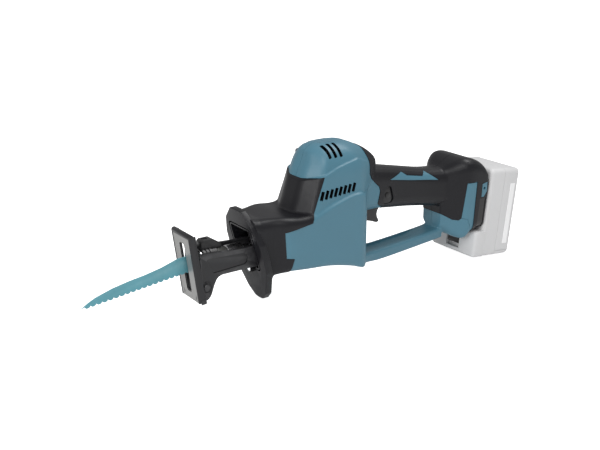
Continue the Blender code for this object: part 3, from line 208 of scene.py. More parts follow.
def fused(form, voxel, rounds):
    """Melts overlapping solids into one skin and softens its corners."""
    melt = form.modifiers.new("melt", "REMESH")
    melt.mode = "VOXEL"
    melt.voxel_size = voxel
    melt.use_smooth_shade = True
    if rounds:
        soften = form.modifiers.new("soften", "SMOOTH")
        soften.factor = 0.5
        soften.iterations = rounds
    return applied(form)


def softened(form, width, segments=2):
    """Rounds the form's sharp edges."""
    soft = form.modifiers.new("soft_edges", "BEVEL")
    soft.width = width
    soft.segments = segments
    soft.limit_method = "ANGLE"
    soft.angle_limit = math.radians(35)
    return applied(form)


def swollen(bm, by):
    """Moves every face outwards by this much."""
    bmesh.ops.recalc_face_normals(bm, faces=bm.faces)
    bm.normal_update()
    places = [vert.co + vert.normal * vert.calc_shell_factor() * by for vert in bm.verts]
    for vert, place in zip(bm.verts, places):
        vert.co = place


def prism(edge, low, high, swell=0, corner=0, plane="XZ", turn=None):
    """A flat outline pushed out along Y, or along X for an outline over Y and Z."""
    bm = bmesh.new()
    corners = [bm.verts.new((a, low, b) if plane == "XZ" else (low, a, b)) for a, b in edge]
    sides = [bm.edges.new(pair) for pair in zip(corners, corners[1:] + corners[:1])]
    face = bmesh.ops.contextual_create(bm, geom=sides)["faces"][0]
    if corner:
        bmesh.ops.bevel(bm, geom=bm.verts[:], offset=corner, segments=4, profile=0.5, affect="VERTICES",
                        clamp_overlap=True, material=-1)
        face = bm.faces[:][0]
    pushed = bmesh.ops.extrude_face_region(bm, geom=[face], use_keep_orig=True)["geom"]
    away = (0, high - low, 0) if plane == "XZ" else (high - low, 0, 0)
    bmesh.ops.translate(bm, vec=away,
                        verts=[item for item in pushed if isinstance(item, bmesh.types.BMVert)])
    if swell:
        swollen(bm, swell)
    if turn:
        bmesh.ops.transform(bm, matrix=turn, verts=bm.verts)
    return as_object(bm)


def block(x0, x1, y0, y1, z0, z1, bevel=0, segments=2, turn=None):
    bm = bmesh.new()
    size = Matrix.Diagonal((x1 - x0, y1 - y0, z1 - z0, 1))
    middle = Vector((x0 + x1, y0 + y1, z0 + z1)) / 2
    bmesh.ops.create_cube(bm, size=1, matrix=Matrix.Translation(middle) @ size)
    if bevel:
        bmesh.ops.bevel(bm, geom=bm.edges[:], offset=bevel, segments=segments, profile=0.5,
                        affect="EDGES", material=-1)
    if turn:
        bmesh.ops.transform(bm, matrix=turn, verts=bm.verts)
    return as_object(bm)


def rod(start, end, radius, tip=None, sides=48, bevel=0):
    start, end = Vector(start), Vector(end)
    turn = Vector((0, 0, 1)).rotation_difference(end - start).to_matrix().to_4x4()
    bm = bmesh.new()
    bmesh.ops.create_cone(bm, cap_ends=True, segments=sides, radius1=radius,
                          radius2=radius if tip is None else tip, depth=(end - start).length,
                          matrix=Matrix.Translation((start + end) / 2) @ turn)
    if bevel:
        rims = [edge for edge in bm.edges if any(len(face.verts) > 4 for face in edge.link_faces)]
        bmesh.ops.bevel(bm, geom=rims, offset=bevel, segments=2, profile=0.5, affect="EDGES",
                        material=-1)
    return as_object(bm)


def turned(profile, axis="X", centre=(0, 0, 0), sides=64):
    """A profile of distances along and from the axis, spun into a closed ring or shaft."""
    along, out = {"X": (Vector((1, 0, 0)), Vector((0, 0, 1))),
                  "Y": (Vector((0, 1, 0)), Vector((0, 0, 1))),
                  "Z": (Vector((0, 0, 1)), Vector((1, 0, 0)))}[axis]
    centre = Vector(centre)
    bm = bmesh.new()
    corners = [bm.verts.new(centre + along * distance + out * radius) for distance, radius in profile]
    rim = [bm.edges.new(pair) for pair in zip(corners, corners[1:] + corners[:1])]
    bmesh.ops.spin(bm, geom=rim + corners, cent=centre, axis=along, dvec=(0, 0, 0),
                   angle=2 * math.pi, steps=sides, use_merge=True, use_duplicate=False)
    bmesh.ops.remove_doubles(bm, verts=bm.verts, dist=0.001)
    return as_object(bm)


def curve_through(rows, steps):
    """More rows of numbers between the given ones, on a smooth curve through each."""
    made = []
    for index in range(len(rows) - 1):
        before, here = rows[max(index - 1, 0)], rows[index]
        there, beyond = rows[index + 1], rows[min(index + 2, len(rows) - 1)]
        for step in range(steps):
            t = step / steps
            made.append(tuple(
                b + 0.5 * t * (c - a + t * (2 * a - 5 * b + 4 * c - d + t * (3 * (b - c) + d - a)))
                for a, b, c, d in zip(before, here, there, beyond)
            ))
    made.append(rows[-1])
    return made


def joined_up(bm, faces):
    """Bridges a row of flat faces into one closed solid, keeping the first and the last as its ends."""
    loops = [face.edges[:] for face in faces]
    bmesh.ops.delete(bm, geom=faces[1:-1], context="FACES_ONLY")
    for here, there in zip(loops, loops[1:]):
        bmesh.ops.bridge_loops(bm, edges=here + there)
    bmesh.ops.recalc_face_normals(bm, faces=bm.faces)
    return as_object(bm)


def loft(sections, inset=0, steps=4):
    """Rounded rectangles across X: place, lean, half width, low, high, top and bottom corner radius."""
    bm = bmesh.new()
    faces = []
    rows = curve_through(sections, steps)
    for index, (x, lean, half_width, low, high, top_radius, low_radius) in enumerate(rows):
        x += inset * ((index == 0) - (index == len(rows) - 1))
        corners = bmesh.ops.create_grid(bm, x_segments=1, y_segments=1, size=1)["verts"]
        for vert in corners:
            up = vert.co.y > 0
            z = high - inset if up else low + inset
            vert.co = (x + lean * z, vert.co.x * (half_width - inset), z)
        tops = [vert for vert in corners if vert.co.z > (low + high) / 2]
        lows = [vert for vert in corners if vert not in tops]
        face = corners[0].link_faces[0]
        for verts, radius in ((tops, top_radius), (lows, low_radius)):
            rounded = bmesh.ops.bevel(bm, geom=verts, offset=max(radius - inset, 1), segments=5,
                                      profile=0.5, affect="VERTICES", clamp_overlap=True, material=-1)
            lows = [vert for vert in lows if vert.is_valid]
            face = rounded["verts"][0].link_faces[0]
        faces.append(face)
    return joined_up(bm, faces)


def hump(inset=0):
    """The motor housing: eight-sided plans with soft corners, one above the other."""
    bm = bmesh.new()
    faces = []
    rows = curve_through(HUMP_PLANS, 3)
    for index, (z, front, flat, side_front, width, side_back, back, back_flat) in enumerate(rows):
        z += inset * ((index == 0) - (index == len(rows) - 1))
        front, side_front = front + inset, side_front + inset * 0.6
        side_back, back = side_back - inset * 0.6, back - inset
        width = width - inset
        back_flat = min(back_flat - inset * 0.6, width - 1)
        flat = min(flat, width - 1)
        near = ((front, flat), (side_front, width), (side_back, width), (back, back_flat))
        ring = [bm.verts.new((x, y, z)) for x, y in near]
        ring += [bm.verts.new((x, -y, z)) for x, y in reversed(near)]
        face = bmesh.ops.contextual_create(bm, geom=ring)["faces"][0]
        soft = min(5.0, 0.35 * min(edge.calc_length() for edge in face.edges))
        rounded = bmesh.ops.bevel(bm, geom=ring, offset=soft, segments=3, profile=0.5, affect="VERTICES",
                                  clamp_overlap=True, material=-1)
        faces.append(rounded["verts"][0].link_faces[0])
    return joined_up(bm, faces)


# ---------------------------------------------------------------- finished pieces


def mesh_to_bmesh(form):
    bm = bmesh.new()
    bm.from_mesh(form.data)
    return bm


def piece(form, name, body, finish, slot, *nodes, corner=30, other=(), second=None):
    """Puts a form in the model's frame as a piece on a body, standing for its CAD nodes."""
    bm = mesh_to_bmesh(form)
    for face in bm.faces:
        face.material_index = int(bool(second) and second(face.calc_center_median(), face.normal))
    bmesh.ops.remove_doubles(bm, verts=bm.verts, dist=0.004)
    bmesh.ops.dissolve_degenerate(bm, edges=bm.edges, dist=0.004)
    bmesh.ops.transform(bm, matrix=Matrix.Translation(TOOL) @ Matrix.Scale(MM, 4), verts=bm.verts)
    form.data.materials.clear()
    for surface in (finish, *other):
        form.data.materials.append(surface)
    bm.to_mesh(form.data)
    bm.free()
    form.name = name
    form.data.name = name
    form.data.shade_smooth()
    form.data.set_sharp_from_angle(angle=math.radians(corner))
    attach(form, body)
    if nodes:
        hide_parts(*nodes)
    return form


def other_side(form):
    """A mirrored copy across the middle of the tool."""
    twin = duplicate(form)
    bm = mesh_to_bmesh(twin)
    bmesh.ops.scale(bm, vec=(1, -1, 1), verts=bm.verts)
    bmesh.ops.reverse_faces(bm, faces=bm.faces)
    bm.to_mesh(twin.data)
    bm.free()
    return twin


def both_sides(form, stem, body, finish, slot, nodes):
    twin = other_side(form)
    piece(form, stem + "_left", body, finish, slot, nodes + "_left")
    piece(twin, stem + "_right", body, finish, slot, nodes + "_right")


# ---------------------------------------------------------------- finishes


def node(tree, kind, x, y, **settings):
    made = tree.nodes.new(kind)
    made.location = (x, y)
    for key, value in settings.items():
        setattr(made, key, value)
    return made


def grain_group():
    """Fine moulded texture: a height for Bump, and a slow mottle for colour and gloss."""
    group = bpy.data.node_groups.new("moulded_grain", "ShaderNodeTree")
    for name, default in (("Grain Size", 0.4), ("Mottle Size", 30.0)):
        socket = group.interface.new_socket(name, in_out="INPUT", socket_type="NodeSocketFloat")
        socket.default_value = default
    for name in ("Height", "Mottle"):
        group.interface.new_socket(name, in_out="OUTPUT", socket_type="NodeSocketFloat")
    start = node(group, "NodeGroupInput", -900, 0)
    place = node(group, "ShaderNodeTexCoord", -900, 300)
    scale = node(group, "ShaderNodeMath", -700, 100, operation="DIVIDE")
    scale.inputs[0].default_value = 1000
    group.links.new(start.outputs["Grain Size"], scale.inputs[1])
    slow = node(group, "ShaderNodeMath", -700, -150, operation="DIVIDE")
    slow.inputs[0].default_value = 1000
    group.links.new(start.outputs["Mottle Size"], slow.inputs[1])
    cells = node(group, "ShaderNodeTexVoronoi", -450, 300)
    pebble = node(group, "ShaderNodeTexNoise", -450, 0)
    pebble.inputs["Detail"].default_value = 4
    cloud = node(group, "ShaderNodeTexNoise", -450, -300)
    cloud.inputs["Detail"].default_value = 5
    for texture, size in ((cells, scale), (pebble, scale), (cloud, slow)):
        group.links.new(place.outputs["Object"], texture.inputs["Vector"])
        group.links.new(size.outputs[0], texture.inputs["Scale"])
    mix = node(group, "ShaderNodeMath", -200, 150, operation="MULTIPLY_ADD")
    mix.inputs[1].default_value = 0.5
    group.links.new(cells.outputs["Distance"], mix.inputs[0])
    group.links.new(pebble.outputs["Fac"], mix.inputs[2])
    end = node(group, "NodeGroupOutput", 100, 0)
    group.links.new(mix.outputs[0], end.inputs["Height"])
    group.links.new(cloud.outputs["Fac"], end.inputs["Mottle"])
    return group


def edge_highlight_group():
    """A painted edge highlight: a mask that is high on the outer edges, broken up by noise."""
    group = bpy.data.node_groups.new("painted_edge_highlight", "ShaderNodeTree")
    for name, default in (("Amount", 0.5), ("Patch Size", 6.0)):
        socket = group.interface.new_socket(name, in_out="INPUT", socket_type="NodeSocketFloat")
        socket.default_value = default
    group.interface.new_socket("Mask", in_out="OUTPUT", socket_type="NodeSocketFloat")
    start = node(group, "NodeGroupInput", -900, 0)
    surface = node(group, "ShaderNodeNewGeometry", -900, 250)
    ramp = node(group, "ShaderNodeMapRange", -650, 250)
    ramp.inputs["From Min"].default_value = 0.52
    ramp.inputs["From Max"].default_value = 0.62
    group.links.new(surface.outputs["Pointiness"], ramp.inputs["Value"])
    place = node(group, "ShaderNodeTexCoord", -900, -200)
    size = node(group, "ShaderNodeMath", -700, -50, operation="DIVIDE")
    size.inputs[0].default_value = 1000
    group.links.new(start.outputs["Patch Size"], size.inputs[1])
    patch = node(group, "ShaderNodeTexNoise", -500, -100)
    group.links.new(place.outputs["Object"], patch.inputs["Vector"])
    group.links.new(size.outputs[0], patch.inputs["Scale"])
    broken = node(group, "ShaderNodeMath", -250, 100, operation="MULTIPLY")
    group.links.new(ramp.outputs["Result"], broken.inputs[0])
    group.links.new(patch.outputs["Fac"], broken.inputs[1])
    amount = node(group, "ShaderNodeMath", -50, 100, operation="MULTIPLY", use_clamp=True)
    group.links.new(broken.outputs[0], amount.inputs[0])
    group.links.new(start.outputs["Amount"], amount.inputs[1])
    end = node(group, "NodeGroupOutput", 150, 0)
    group.links.new(amount.outputs[0], end.inputs["Mask"])
    return group


GRAIN = grain_group()
EDGE_HIGHLIGHT = edge_highlight_group()


def finish(name, colour, rough, metal=0.0, vary=0.08, highlight_colour=None, highlight_amount=0.3, grain=0.4,
           depth=0.05, mottle=30.0, rough_range=0.06, specular=0.5, coat=0.0, stretch=None):
    """A solid finish: colour with slow variation, a painted highlight that lightens the outer edges, and
    grain in its normal and gloss.
    """
    made = bpy.data.materials.new(name)
    made.use_nodes = True
    tree = made.node_tree
    shader = tree.nodes["Principled BSDF"]
    shader.inputs["Metallic"].default_value = metal
    shader.inputs["Specular IOR Level"].default_value = specular
    shader.inputs["Coat Weight"].default_value = coat
    texture = node(tree, "ShaderNodeGroup", -900, 0, node_tree=GRAIN)
    texture.inputs["Grain Size"].default_value = grain
    texture.inputs["Mottle Size"].default_value = mottle
    tone = node(tree, "ShaderNodeMix", -600, 300, data_type="RGBA")
    tone.inputs["A"].default_value = (*[channel * (1 - vary) for channel in colour], 1)
    tone.inputs["B"].default_value = (*[min(channel * (1 + vary), 1) for channel in colour], 1)
    tree.links.new(texture.outputs["Mottle"], tone.inputs["Factor"])
    # Painted edge highlight: the colour is mixed towards a lighter tone on the outer edges.
    highlit_edges = node(tree, "ShaderNodeGroup", -900, 500, node_tree=EDGE_HIGHLIGHT)
    highlit_edges.inputs["Amount"].default_value = highlight_amount
    colour_out = node(tree, "ShaderNodeMix", -350, 300, data_type="RGBA")
    highlight_tone = highlight_colour or tuple(min(channel * 1.5 + 0.02, 1) for channel in colour)
    colour_out.inputs["B"].default_value = (*highlight_tone, 1)
    tree.links.new(highlit_edges.outputs["Mask"], colour_out.inputs["Factor"])
    tree.links.new(tone.outputs["Result"], colour_out.inputs["A"])
    tree.links.new(colour_out.outputs["Result"], shader.inputs["Base Color"])
    gloss = node(tree, "ShaderNodeMapRange", -350, 0)
    gloss.inputs["To Min"].default_value = rough - rough_range
    gloss.inputs["To Max"].default_value = rough + rough_range
    tree.links.new(texture.outputs["Mottle"], gloss.inputs["Value"])
    tree.links.new(gloss.outputs["Result"], shader.inputs["Roughness"])
    bump = node(tree, "ShaderNodeBump", -350, -300)
    bump.inputs["Strength"].default_value = 0.6
    bump.inputs["Distance"].default_value = depth * MM
    if stretch:
        lines = node(tree, "ShaderNodeTexCoord", -1200, -400)
        lay = node(tree, "ShaderNodeMapping", -1000, -400)
        lay.inputs["Scale"].default_value = stretch
        brushed = node(tree, "ShaderNodeTexNoise", -750, -400)
        brushed.inputs["Scale"].default_value = 1000
        brushed.inputs["Detail"].default_value = 3
        tree.links.new(lines.outputs["Object"], lay.inputs["Vector"])
        tree.links.new(lay.outputs["Vector"], brushed.inputs["Vector"])
        tree.links.new(brushed.outputs["Fac"], bump.inputs["Height"])
    else:
        tree.links.new(texture.outputs["Height"], bump.inputs["Height"])
    tree.links.new(bump.outputs["Normal"], shader.inputs["Normal"])
    return made


TEAL = finish("teal_satin_plastic", (0.064, 0.178, 0.242), 0.42, vary=0.05, grain=0.5,
              depth=0.02, highlight_amount=0.25)
RUBBER = finish("overmoulded_rubber", (0.0075, 0.0075, 0.0098), 0.40, vary=0.12, grain=0.35,
                depth=0.04, highlight_amount=0.35, specular=0.3)
BLACK = finish("black_plastic", (0.005, 0.005, 0.006), 0.3, vary=0.1, grain=0.35, depth=0.03, highlight_amount=0.3)
LINKAGE = finish("black_oxide_steel", (0.010, 0.010, 0.012), 0.3, metal=0.1, vary=0.15, grain=0.8,
                 depth=0.02, highlight_colour=(0.12, 0.12, 0.125), highlight_amount=0.5, mottle=12)
# Painted reflection: the light grey of the black-plated shoe's front face, where it mirrors the bright
# light.
SHOE_FACE_REFLECTION = finish("shoe_face_painted_reflection", (0.31, 0.31, 0.305), 0.42, metal=0.6, vary=0.12,
                   grain=0.6, depth=0.03, highlight_colour=(0.5, 0.5, 0.5), highlight_amount=0.6, mottle=9,
                                                stretch=(0.25, 0.25, 1.6))
STEEL = finish("ground_steel", (0.58, 0.58, 0.59), 0.24, metal=1.0, vary=0.08, depth=0.01, mottle=10,
               highlight_amount=0.4, highlight_colour=(0.8, 0.8, 0.8), stretch=(0.08, 1.0, 1.0))
BLADE = finish("coated_blade", (0.095, 0.30, 0.36), 0.36, metal=0.25, vary=0.14, depth=0.012,
               mottle=26, highlight_amount=0.5, highlight_colour=(0.3, 0.48, 0.52), stretch=(1.4, 1.0, 0.12))
SLEEVE = finish("clamp_sleeve_black", (0.014, 0.014, 0.015), 0.34, metal=0.2, vary=0.1, depth=0.02,
                highlight_amount=0.6, highlight_colour=(0.14, 0.14, 0.14), mottle=8)
WEDGE = finish("clamp_wedge_grey", (0.07, 0.07, 0.066), 0.5, vary=0.12, depth=0.03, mottle=8)
PACK = finish("pale_pack_plastic", (0.60, 0.60, 0.605), 0.5, vary=0.03, grain=0.5, depth=0.02,
              highlight_amount=0.2, mottle=40)
LABEL = finish("pale_label_film", (0.85, 0.85, 0.855), 0.35, vary=0.02, depth=0.005, mottle=20, highlight_amount=0.1)
CAST = finish("cast_aluminium", (0.5, 0.5, 0.52), 0.5, metal=1.0, vary=0.12, grain=1.2,
              depth=0.06, mottle=14)
BRONZE = finish("sintered_bronze", (0.5, 0.34, 0.16), 0.42, metal=1.0, vary=0.12,
                grain=0.4, depth=0.03, mottle=6)
BRASS = finish("plated_brass", (0.72, 0.56, 0.28), 0.3, metal=1.0, vary=0.06,
               grain=0.5, depth=0.01, mottle=6)
LAMINATE = finish("stator_steel", (0.12, 0.12, 0.13), 0.45, metal=0.8, vary=0.15, depth=0.05, mottle=8,
                  stretch=(0.2, 0.2, 4.0))
BOARD = finish("circuit_board_green", (0.02, 0.12, 0.06), 0.4, vary=0.2, grain=2.0, depth=0.04, mottle=5)
WRAP = finish("cell_wrap_blue", (0.1, 0.24, 0.42), 0.32, vary=0.06, depth=0.01, mottle=16)


def lens_finish():
    """The work light's bright clear lens: pale, glossy and faintly lit from behind."""
    made = finish("lamp_lens_clear", (0.9, 0.92, 0.95), 0.14, vary=0.04, depth=0.01, mottle=3)
    tree = made.node_tree
    shader = tree.nodes["Principled BSDF"]
    place = node(tree, "ShaderNodeTexCoord", -900, -700)
    glow = node(tree, "ShaderNodeTexNoise", -700, -700)
    glow.inputs["Scale"].default_value = 300
    ramp = node(tree, "ShaderNodeMix", -450, -700, data_type="RGBA")
    ramp.inputs["A"].default_value = (0.7, 0.75, 0.8, 1)
    ramp.inputs["B"].default_value = (1, 1, 1, 1)
    tree.links.new(place.outputs["Object"], glow.inputs["Vector"])
    tree.links.new(glow.outputs["Fac"], ramp.inputs["Factor"])
    tree.links.new(ramp.outputs["Result"], shader.inputs["Emission Color"])
    shader.inputs["Emission Strength"].default_value = 0.9
    return made


LENS = lens_finish()


def dress(surface, *names):
    for name in names:
        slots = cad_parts[name].data.materials
        slots.clear()
        slots.append(surface)


# ---------------------------------------------------------------- shell mouldings


def solid_form(inset=0):
    """Body, motor housing, grip and rear housing as overlapping solids."""
    shapes = [loft(BODY_SECTIONS, inset), hump(inset), loft(GRIP_SECTIONS, inset),
              loft(CAP_SECTIONS, inset)]
    if not inset:
        waist = prism(((100, 20), (100, 67), (134.5, 69), (150, 74.5), (170, 81.5), (197, 87), (214, 80),
                       (214, 20)), -60, 60)
        shapes += [loft(BAR_SECTIONS), within(hump(-1.8), waist)]
    return together(*shapes)


def near_half(form):
    """The part of a solid on the -Y side of the joint plane."""
    return within(form, block(-300, 700, -90, -SEAM, -200, 300))


def sunk(form, by):
    shift = form.modifiers.new("sink", "DISPLACE")
    shift.strength = -by
    shift.mid_level = 0
    return applied(form)


def pack_channel():
    """The T-slot that the battery's rail slides in."""
    return (
        block(382.3, 402.6, -17.1, 17.1, -30, 78, turn=PACK_TURN),
        block(382.3, 391.0, -21.6, 21.6, -30, 78, turn=PACK_TURN),
    )


def vents():
    slots = []
    for index in range(SIDE_VENTS):
        place = (145.5 + SIDE_VENT_PITCH * index, 0, 53 + SIDE_VENT_RISE * index)
        turn = Matrix.Translation(place) @ Matrix.Rotation(SIDE_VENT_LEAN, 4, "Y")
        slots.append(block(-2.0, 2.0, -60, -20, -5.1, 5.1, bevel=0.4, segments=1, turn=turn))
    for index in range(TOP_VENTS):
        place = (160.5 + TOP_VENT_PITCH * index, -19, 98)
        turn = Matrix.Translation(place) @ Matrix.Rotation(TOP_VENT_TURN, 4, "Z")
        slots.append(block(-2.0, 2.0, -8, 8, -14, 14, bevel=0.5, segments=1, turn=turn))
    slots.append(block(214.3, 217.6, -60, -14, 29, 46))
    return slots


def trigger_slot():
    return block(215, 249, -9.8, 9.8, -8, 24, bevel=1.5)


def lock_opening():
    return prism(LOCK_EDGE, -60, -10, corner=2.2), rod((252, -60, 31.5), (252, 60, 31.5), 5.3)


def trough():
    """The channel along the top of the guard bar."""
    return prism(((216, -31), (226, -31.5), (253, -30.9), (310, -27.4), (316, -25), (322, -29),
                  (300, -33.2), (253, -36.5), (226, -36.6), (214, -35.5)), -9.5, 9.5, corner=1.5)


def shells():
    """The teal clamshell, the rubber over the grip and rear housing, and the trim set into them."""
    proud = fused(solid_form(), FORM_VOXEL, 5)
    flush = sunk(duplicate(proud), PROUD)
    hollow = fused(solid_form(WALL + PROUD), FORM_VOXEL * 1.6, 0)
    boot_solid = duplicate(proud)
    proud = less(near_half(proud), duplicate(hollow))
    flush = less(near_half(flush), duplicate(hollow))

    def window(edge, swell=-SEAM, low=-60, high=60):
        return prism(edge, low, high, swell=swell)

    housing = duplicate(flush)
    less(housing, *vents(), window(BOOT_EDGE, SEAM), window(GRIP_EDGE, SEAM), window(STRIP_EDGE, SEAM),
         trigger_slot(), trough())
    twin = other_side(housing)
    heads = {"lower": (197, -30.5, 36), "hump_back": (209, 58, 27), "hump_top": (154, 90, 25),
             "bar": (285, -37.6, 13.2)}
    less(twin, *(rod((x, face - 2.5, z), (x, face + 8, z), 3.6) for x, z, face in heads.values()))

    # Painted shade: the walls of the vent slots cut through the teal shell take the black finish, so
    # that the slots read dark.
    def shaded_vent_wall(centre, normal):
        side = 141 < centre.x < 195 and 44 < centre.z < 64 and abs(centre.y) > 20
        top = 154 < centre.x < 182 and centre.z > 84
        return abs(normal.x) > 0.85 and (side or top)
    piece(housing, "body_shell_left", "housing", TEAL, "teal_plastic", "housing_left", other=(BLACK,),
          second=shaded_vent_wall)
    piece(twin, "body_shell_right", "housing", TEAL, "teal_plastic", "housing_right", other=(BLACK,),
          second=shaded_vent_wall)

    cover = within(duplicate(proud), window(GRIP_EDGE))
    for edge, stem, depth, surface, slot in (
        (INLAY_EDGE, "handle_inlay", -9, TEAL, "teal_plastic"),
        (PANEL_EDGE, "side_panel", -25, BLACK, "black_plastic"),
        (TAB_EDGE, "strap_tab", -25, TEAL, "teal_plastic"),
    ):
        trim = within(duplicate(flush if stem == "side_panel" else proud),
                      window(edge, high=depth - 0.3))
        less(cover, window(edge, SEAM, high=depth))
        if stem == "strap_tab":
            less(trim, rod((390.2, -60, 21), (390.2, 0, 21), 1.8))
        both_sides(trim, stem + "_trim", "housing", surface, slot, stem)
    less(cover, *pack_channel(), trigger_slot(), *lock_opening())
    both_sides(cover, "grip_cover", "housing", RUBBER, "grip_rubber", "grip")
    strip = within(duplicate(flush), window(STRIP_EDGE, high=-25))
    both_sides(strip, "rear_strip", "housing", TEAL, "teal_plastic", "side_strip")
    for form in (proud, flush):
        bpy.data.objects.remove(form)
    return boot_solid, hollow


FLANGE_HALF = ((0, 46.6), (10.5, 46.2), (26, 31.2), (33.4, 12), (34.3, -5), (32.8, -20), (17.5, -50.5),
               (7, -60), (0, -60.6))
LEANING = Matrix(((1, 0, -0.27, 0), (0, 1, 0, 0), (0, 0, 1, 0), (0, 0, 0, 1)))


def boot(form, hollow):
    """The rubber nose cover with its finger-guard flange."""
    nose = within(form, prism(BOOT_EDGE, -60, 60, swell=4))
    outline = FLANGE_HALF + tuple((-y, z) for y, z in reversed(FLANGE_HALF[1:-1]))
    flange = softened(prism(outline, 69.2, 77.4, plane="YZ", corner=1.6, turn=LEANING), 1.1, 3)
    fillet = loft(((74.4, -0.27, 28.5, -42, 39, 12, 16), (84, -0.2, 29, -30, 37, 12, 12),
                   (95, -0.1, 30, -26, 36, 12, 9)))
    cover = plus(fused(together(nose, fillet), FORM_VOXEL * 0.8, 3), flange)
    throat = loft(((78.4, -0.27, 23.5, -27, 33, 9, 8), (88, -0.1, 27.5, -24, 33.5, 9, 7),
                   (104, 0, 33.5, -21.5, 33, 9, 6)))
    sill = less(prism(WINDOW_EDGE, 60, 70.4, plane="YZ", corner=3, swell=3.2, turn=LEANING),
                prism(WINDOW_EDGE, 50, 80, plane="YZ", corner=3, swell=1.6, turn=LEANING))
    less(cover, hollow, throat, sill, prism(WINDOW_EDGE, 40, 100, plane="YZ", corner=3, turn=LEANING),
         rod((60, 0, -23), (100, 0, -23), 4.9), rod((60, 0, -28), (77.4, 0, -28), 13.5, tip=15))
    within(cover, prism(BOOT_EDGE, -60, 60, swell=-SEAM))
    piece(cover, "nose_boot", "housing", RUBBER, "grip_rubber", "front_boot")


# ---------------------------------------------------------------- shoe and its bracket


def shoe():
    """The pressed shoe: black steel with a painted reflection in light grey on its front face between
    black rails, a rolled top edge and two ears.
    """
    lean = Matrix.Translation((-2.957, 0, -4.883)) @ Matrix.Rotation(-SHOE_LEAN, 4, "Y")
    plate = block(0, 2.6, -17.6, 17.6, -36.6, 36.4, bevel=0.4, turn=lean)
    rails = [block(-0.5, 8, *sorted((side * 16.4, side * 18.5)), -37, 37, bevel=0.95, segments=3,
                   turn=lean)
             for side in (-1, 1)]
    feet = [block(2.4, 8.6, *sorted((side * 16.6, side * 18.9)), -39.2, -33, bevel=0.9, turn=lean)
            for side in (-1, 1)]
    roll = rod((2.6, -18.7, 36.6), (2.6, 18.7, 36.6), 3.1, bevel=0.8)
    bm = mesh_to_bmesh(roll)
    bmesh.ops.transform(bm, matrix=lean, verts=bm.verts)
    bpy.data.objects.remove(roll)
    roll = as_object(bm)
    ears = [prism(EAR_EDGE, *sorted((side * 13.5, side * 11.7)), corner=1.5) for side in (-1, 1)]
    plus(plate, *rails, *feet, roll, *ears)
    less(plate, prism(SLOT_EDGE, -6, 20, plane="YZ", corner=2.4, turn=lean),
         prism(SLOT_EDGE, -6, 0.5, plane="YZ", corner=2.4, swell=0.6, turn=lean),
         rod((12.2, -30, -26), (12.2, 30, -26), 2.65))

    # The front faces that carry the painted reflection.
    def reflection_face(centre, normal):
        return normal.x < -0.9 and abs(centre.y) < 16.3 and centre.z < 30
    piece(plate, "shoe", "shoe", LINKAGE, "black_steel", "shoe_plate", other=(SHOE_FACE_REFLECTION,), second=reflection_face)


def bracket():
    """Two pressed side plates with a rolled top edge, a grooved panel and a boss round the pivot pin."""
    sides = []
    for side in (-1, 1):
        def sheet(edge, outer, inner, **shape):
            return prism(edge, *sorted((side * outer, side * inner)), **shape)
        plate = sheet(BRACKET_EDGE, 15.6, 13.8, corner=2.4)
        lip = sheet(LIP_EDGE, 16.2, 12.9, corner=0.6)
        rib = sheet(RIB_EDGE, 16.2, 14.5, corner=0.8)
        boss = rod((12.2, side * 15, -26), (12.2, side * 16.4, -26), 6.3, bevel=0.4)
        plus(plate, lip, rib, boss)
        groove = less(sheet(BRACKET_PANEL, 18, 14.7, corner=3.2),
                      sheet(BRACKET_PANEL, 19, 14, corner=2.2, swell=-1.7))
        trench = less(rod((12.2, side * 15.8, -26), (12.2, side * 18, -26), 5.4),
                      rod((12.2, side * 15, -26), (12.2, side * 19, -26), 4.7))
        less(plate, groove, trench, rod((12.2, side * 15.6, -26), (12.2, side * 20, -26), 4.3))
        sides.append(plate)
    web = block(33, 83, -14.5, 14.5, -16, -14.2, bevel=0.3)
    plus(sides[0], sides[1], web)
    less(sides[0], rod((12.2, -30, -26), (12.2, 30, -26), 2.65))
    piece(softened(sides[0], 0.25, 1), "shoe_bracket_pressing", "housing", LINKAGE, "black_steel",
          "shoe_bracket")
    pin = turned(((-17.9, 0.01), (-17.9, 3.2), (-17.3, 3.9), (-15.95, 3.9), (-15.95, 2.5), (15.95, 2.5),
                  (15.95, 3.9), (17.3, 3.9), (17.9, 3.2), (17.9, 0.01)), "Y", (12.2, 0, -26), 40)
    piece(pin, "pivot_pin", "housing", LINKAGE, "steel", "shoe_pin")


# ---------------------------------------------------------------- blade, clamp and slider


def blade():
    """A tapering blade with scalloped teeth and ground flanks."""
    start, end = Vector((2.0, -9.8)), Vector((-114.5, -22.6))
    count = 19
    step = (end - start) / count
    down = Vector((-step.y, step.x)).normalized()
    teeth = []
    for index in range(count):
        root = start + step * index
        teeth += [tuple(root + step * share + down * depth)
                  for share, depth in ((0.0, 0.3), (0.22, 1.2), (0.6, 1.4), (0.84, 0.3), (0.93, -1.0))]
    body = prism(BLADE_BACK + tuple(teeth), -0.6, 0.6)
    less(body, rod((18, -5, -1), (18, 5, -1), 2.3))
    piece(softened(body, 0.12, 1), "saw_blade_body", "slider", BLADE, "blade_coating", "saw_blade")


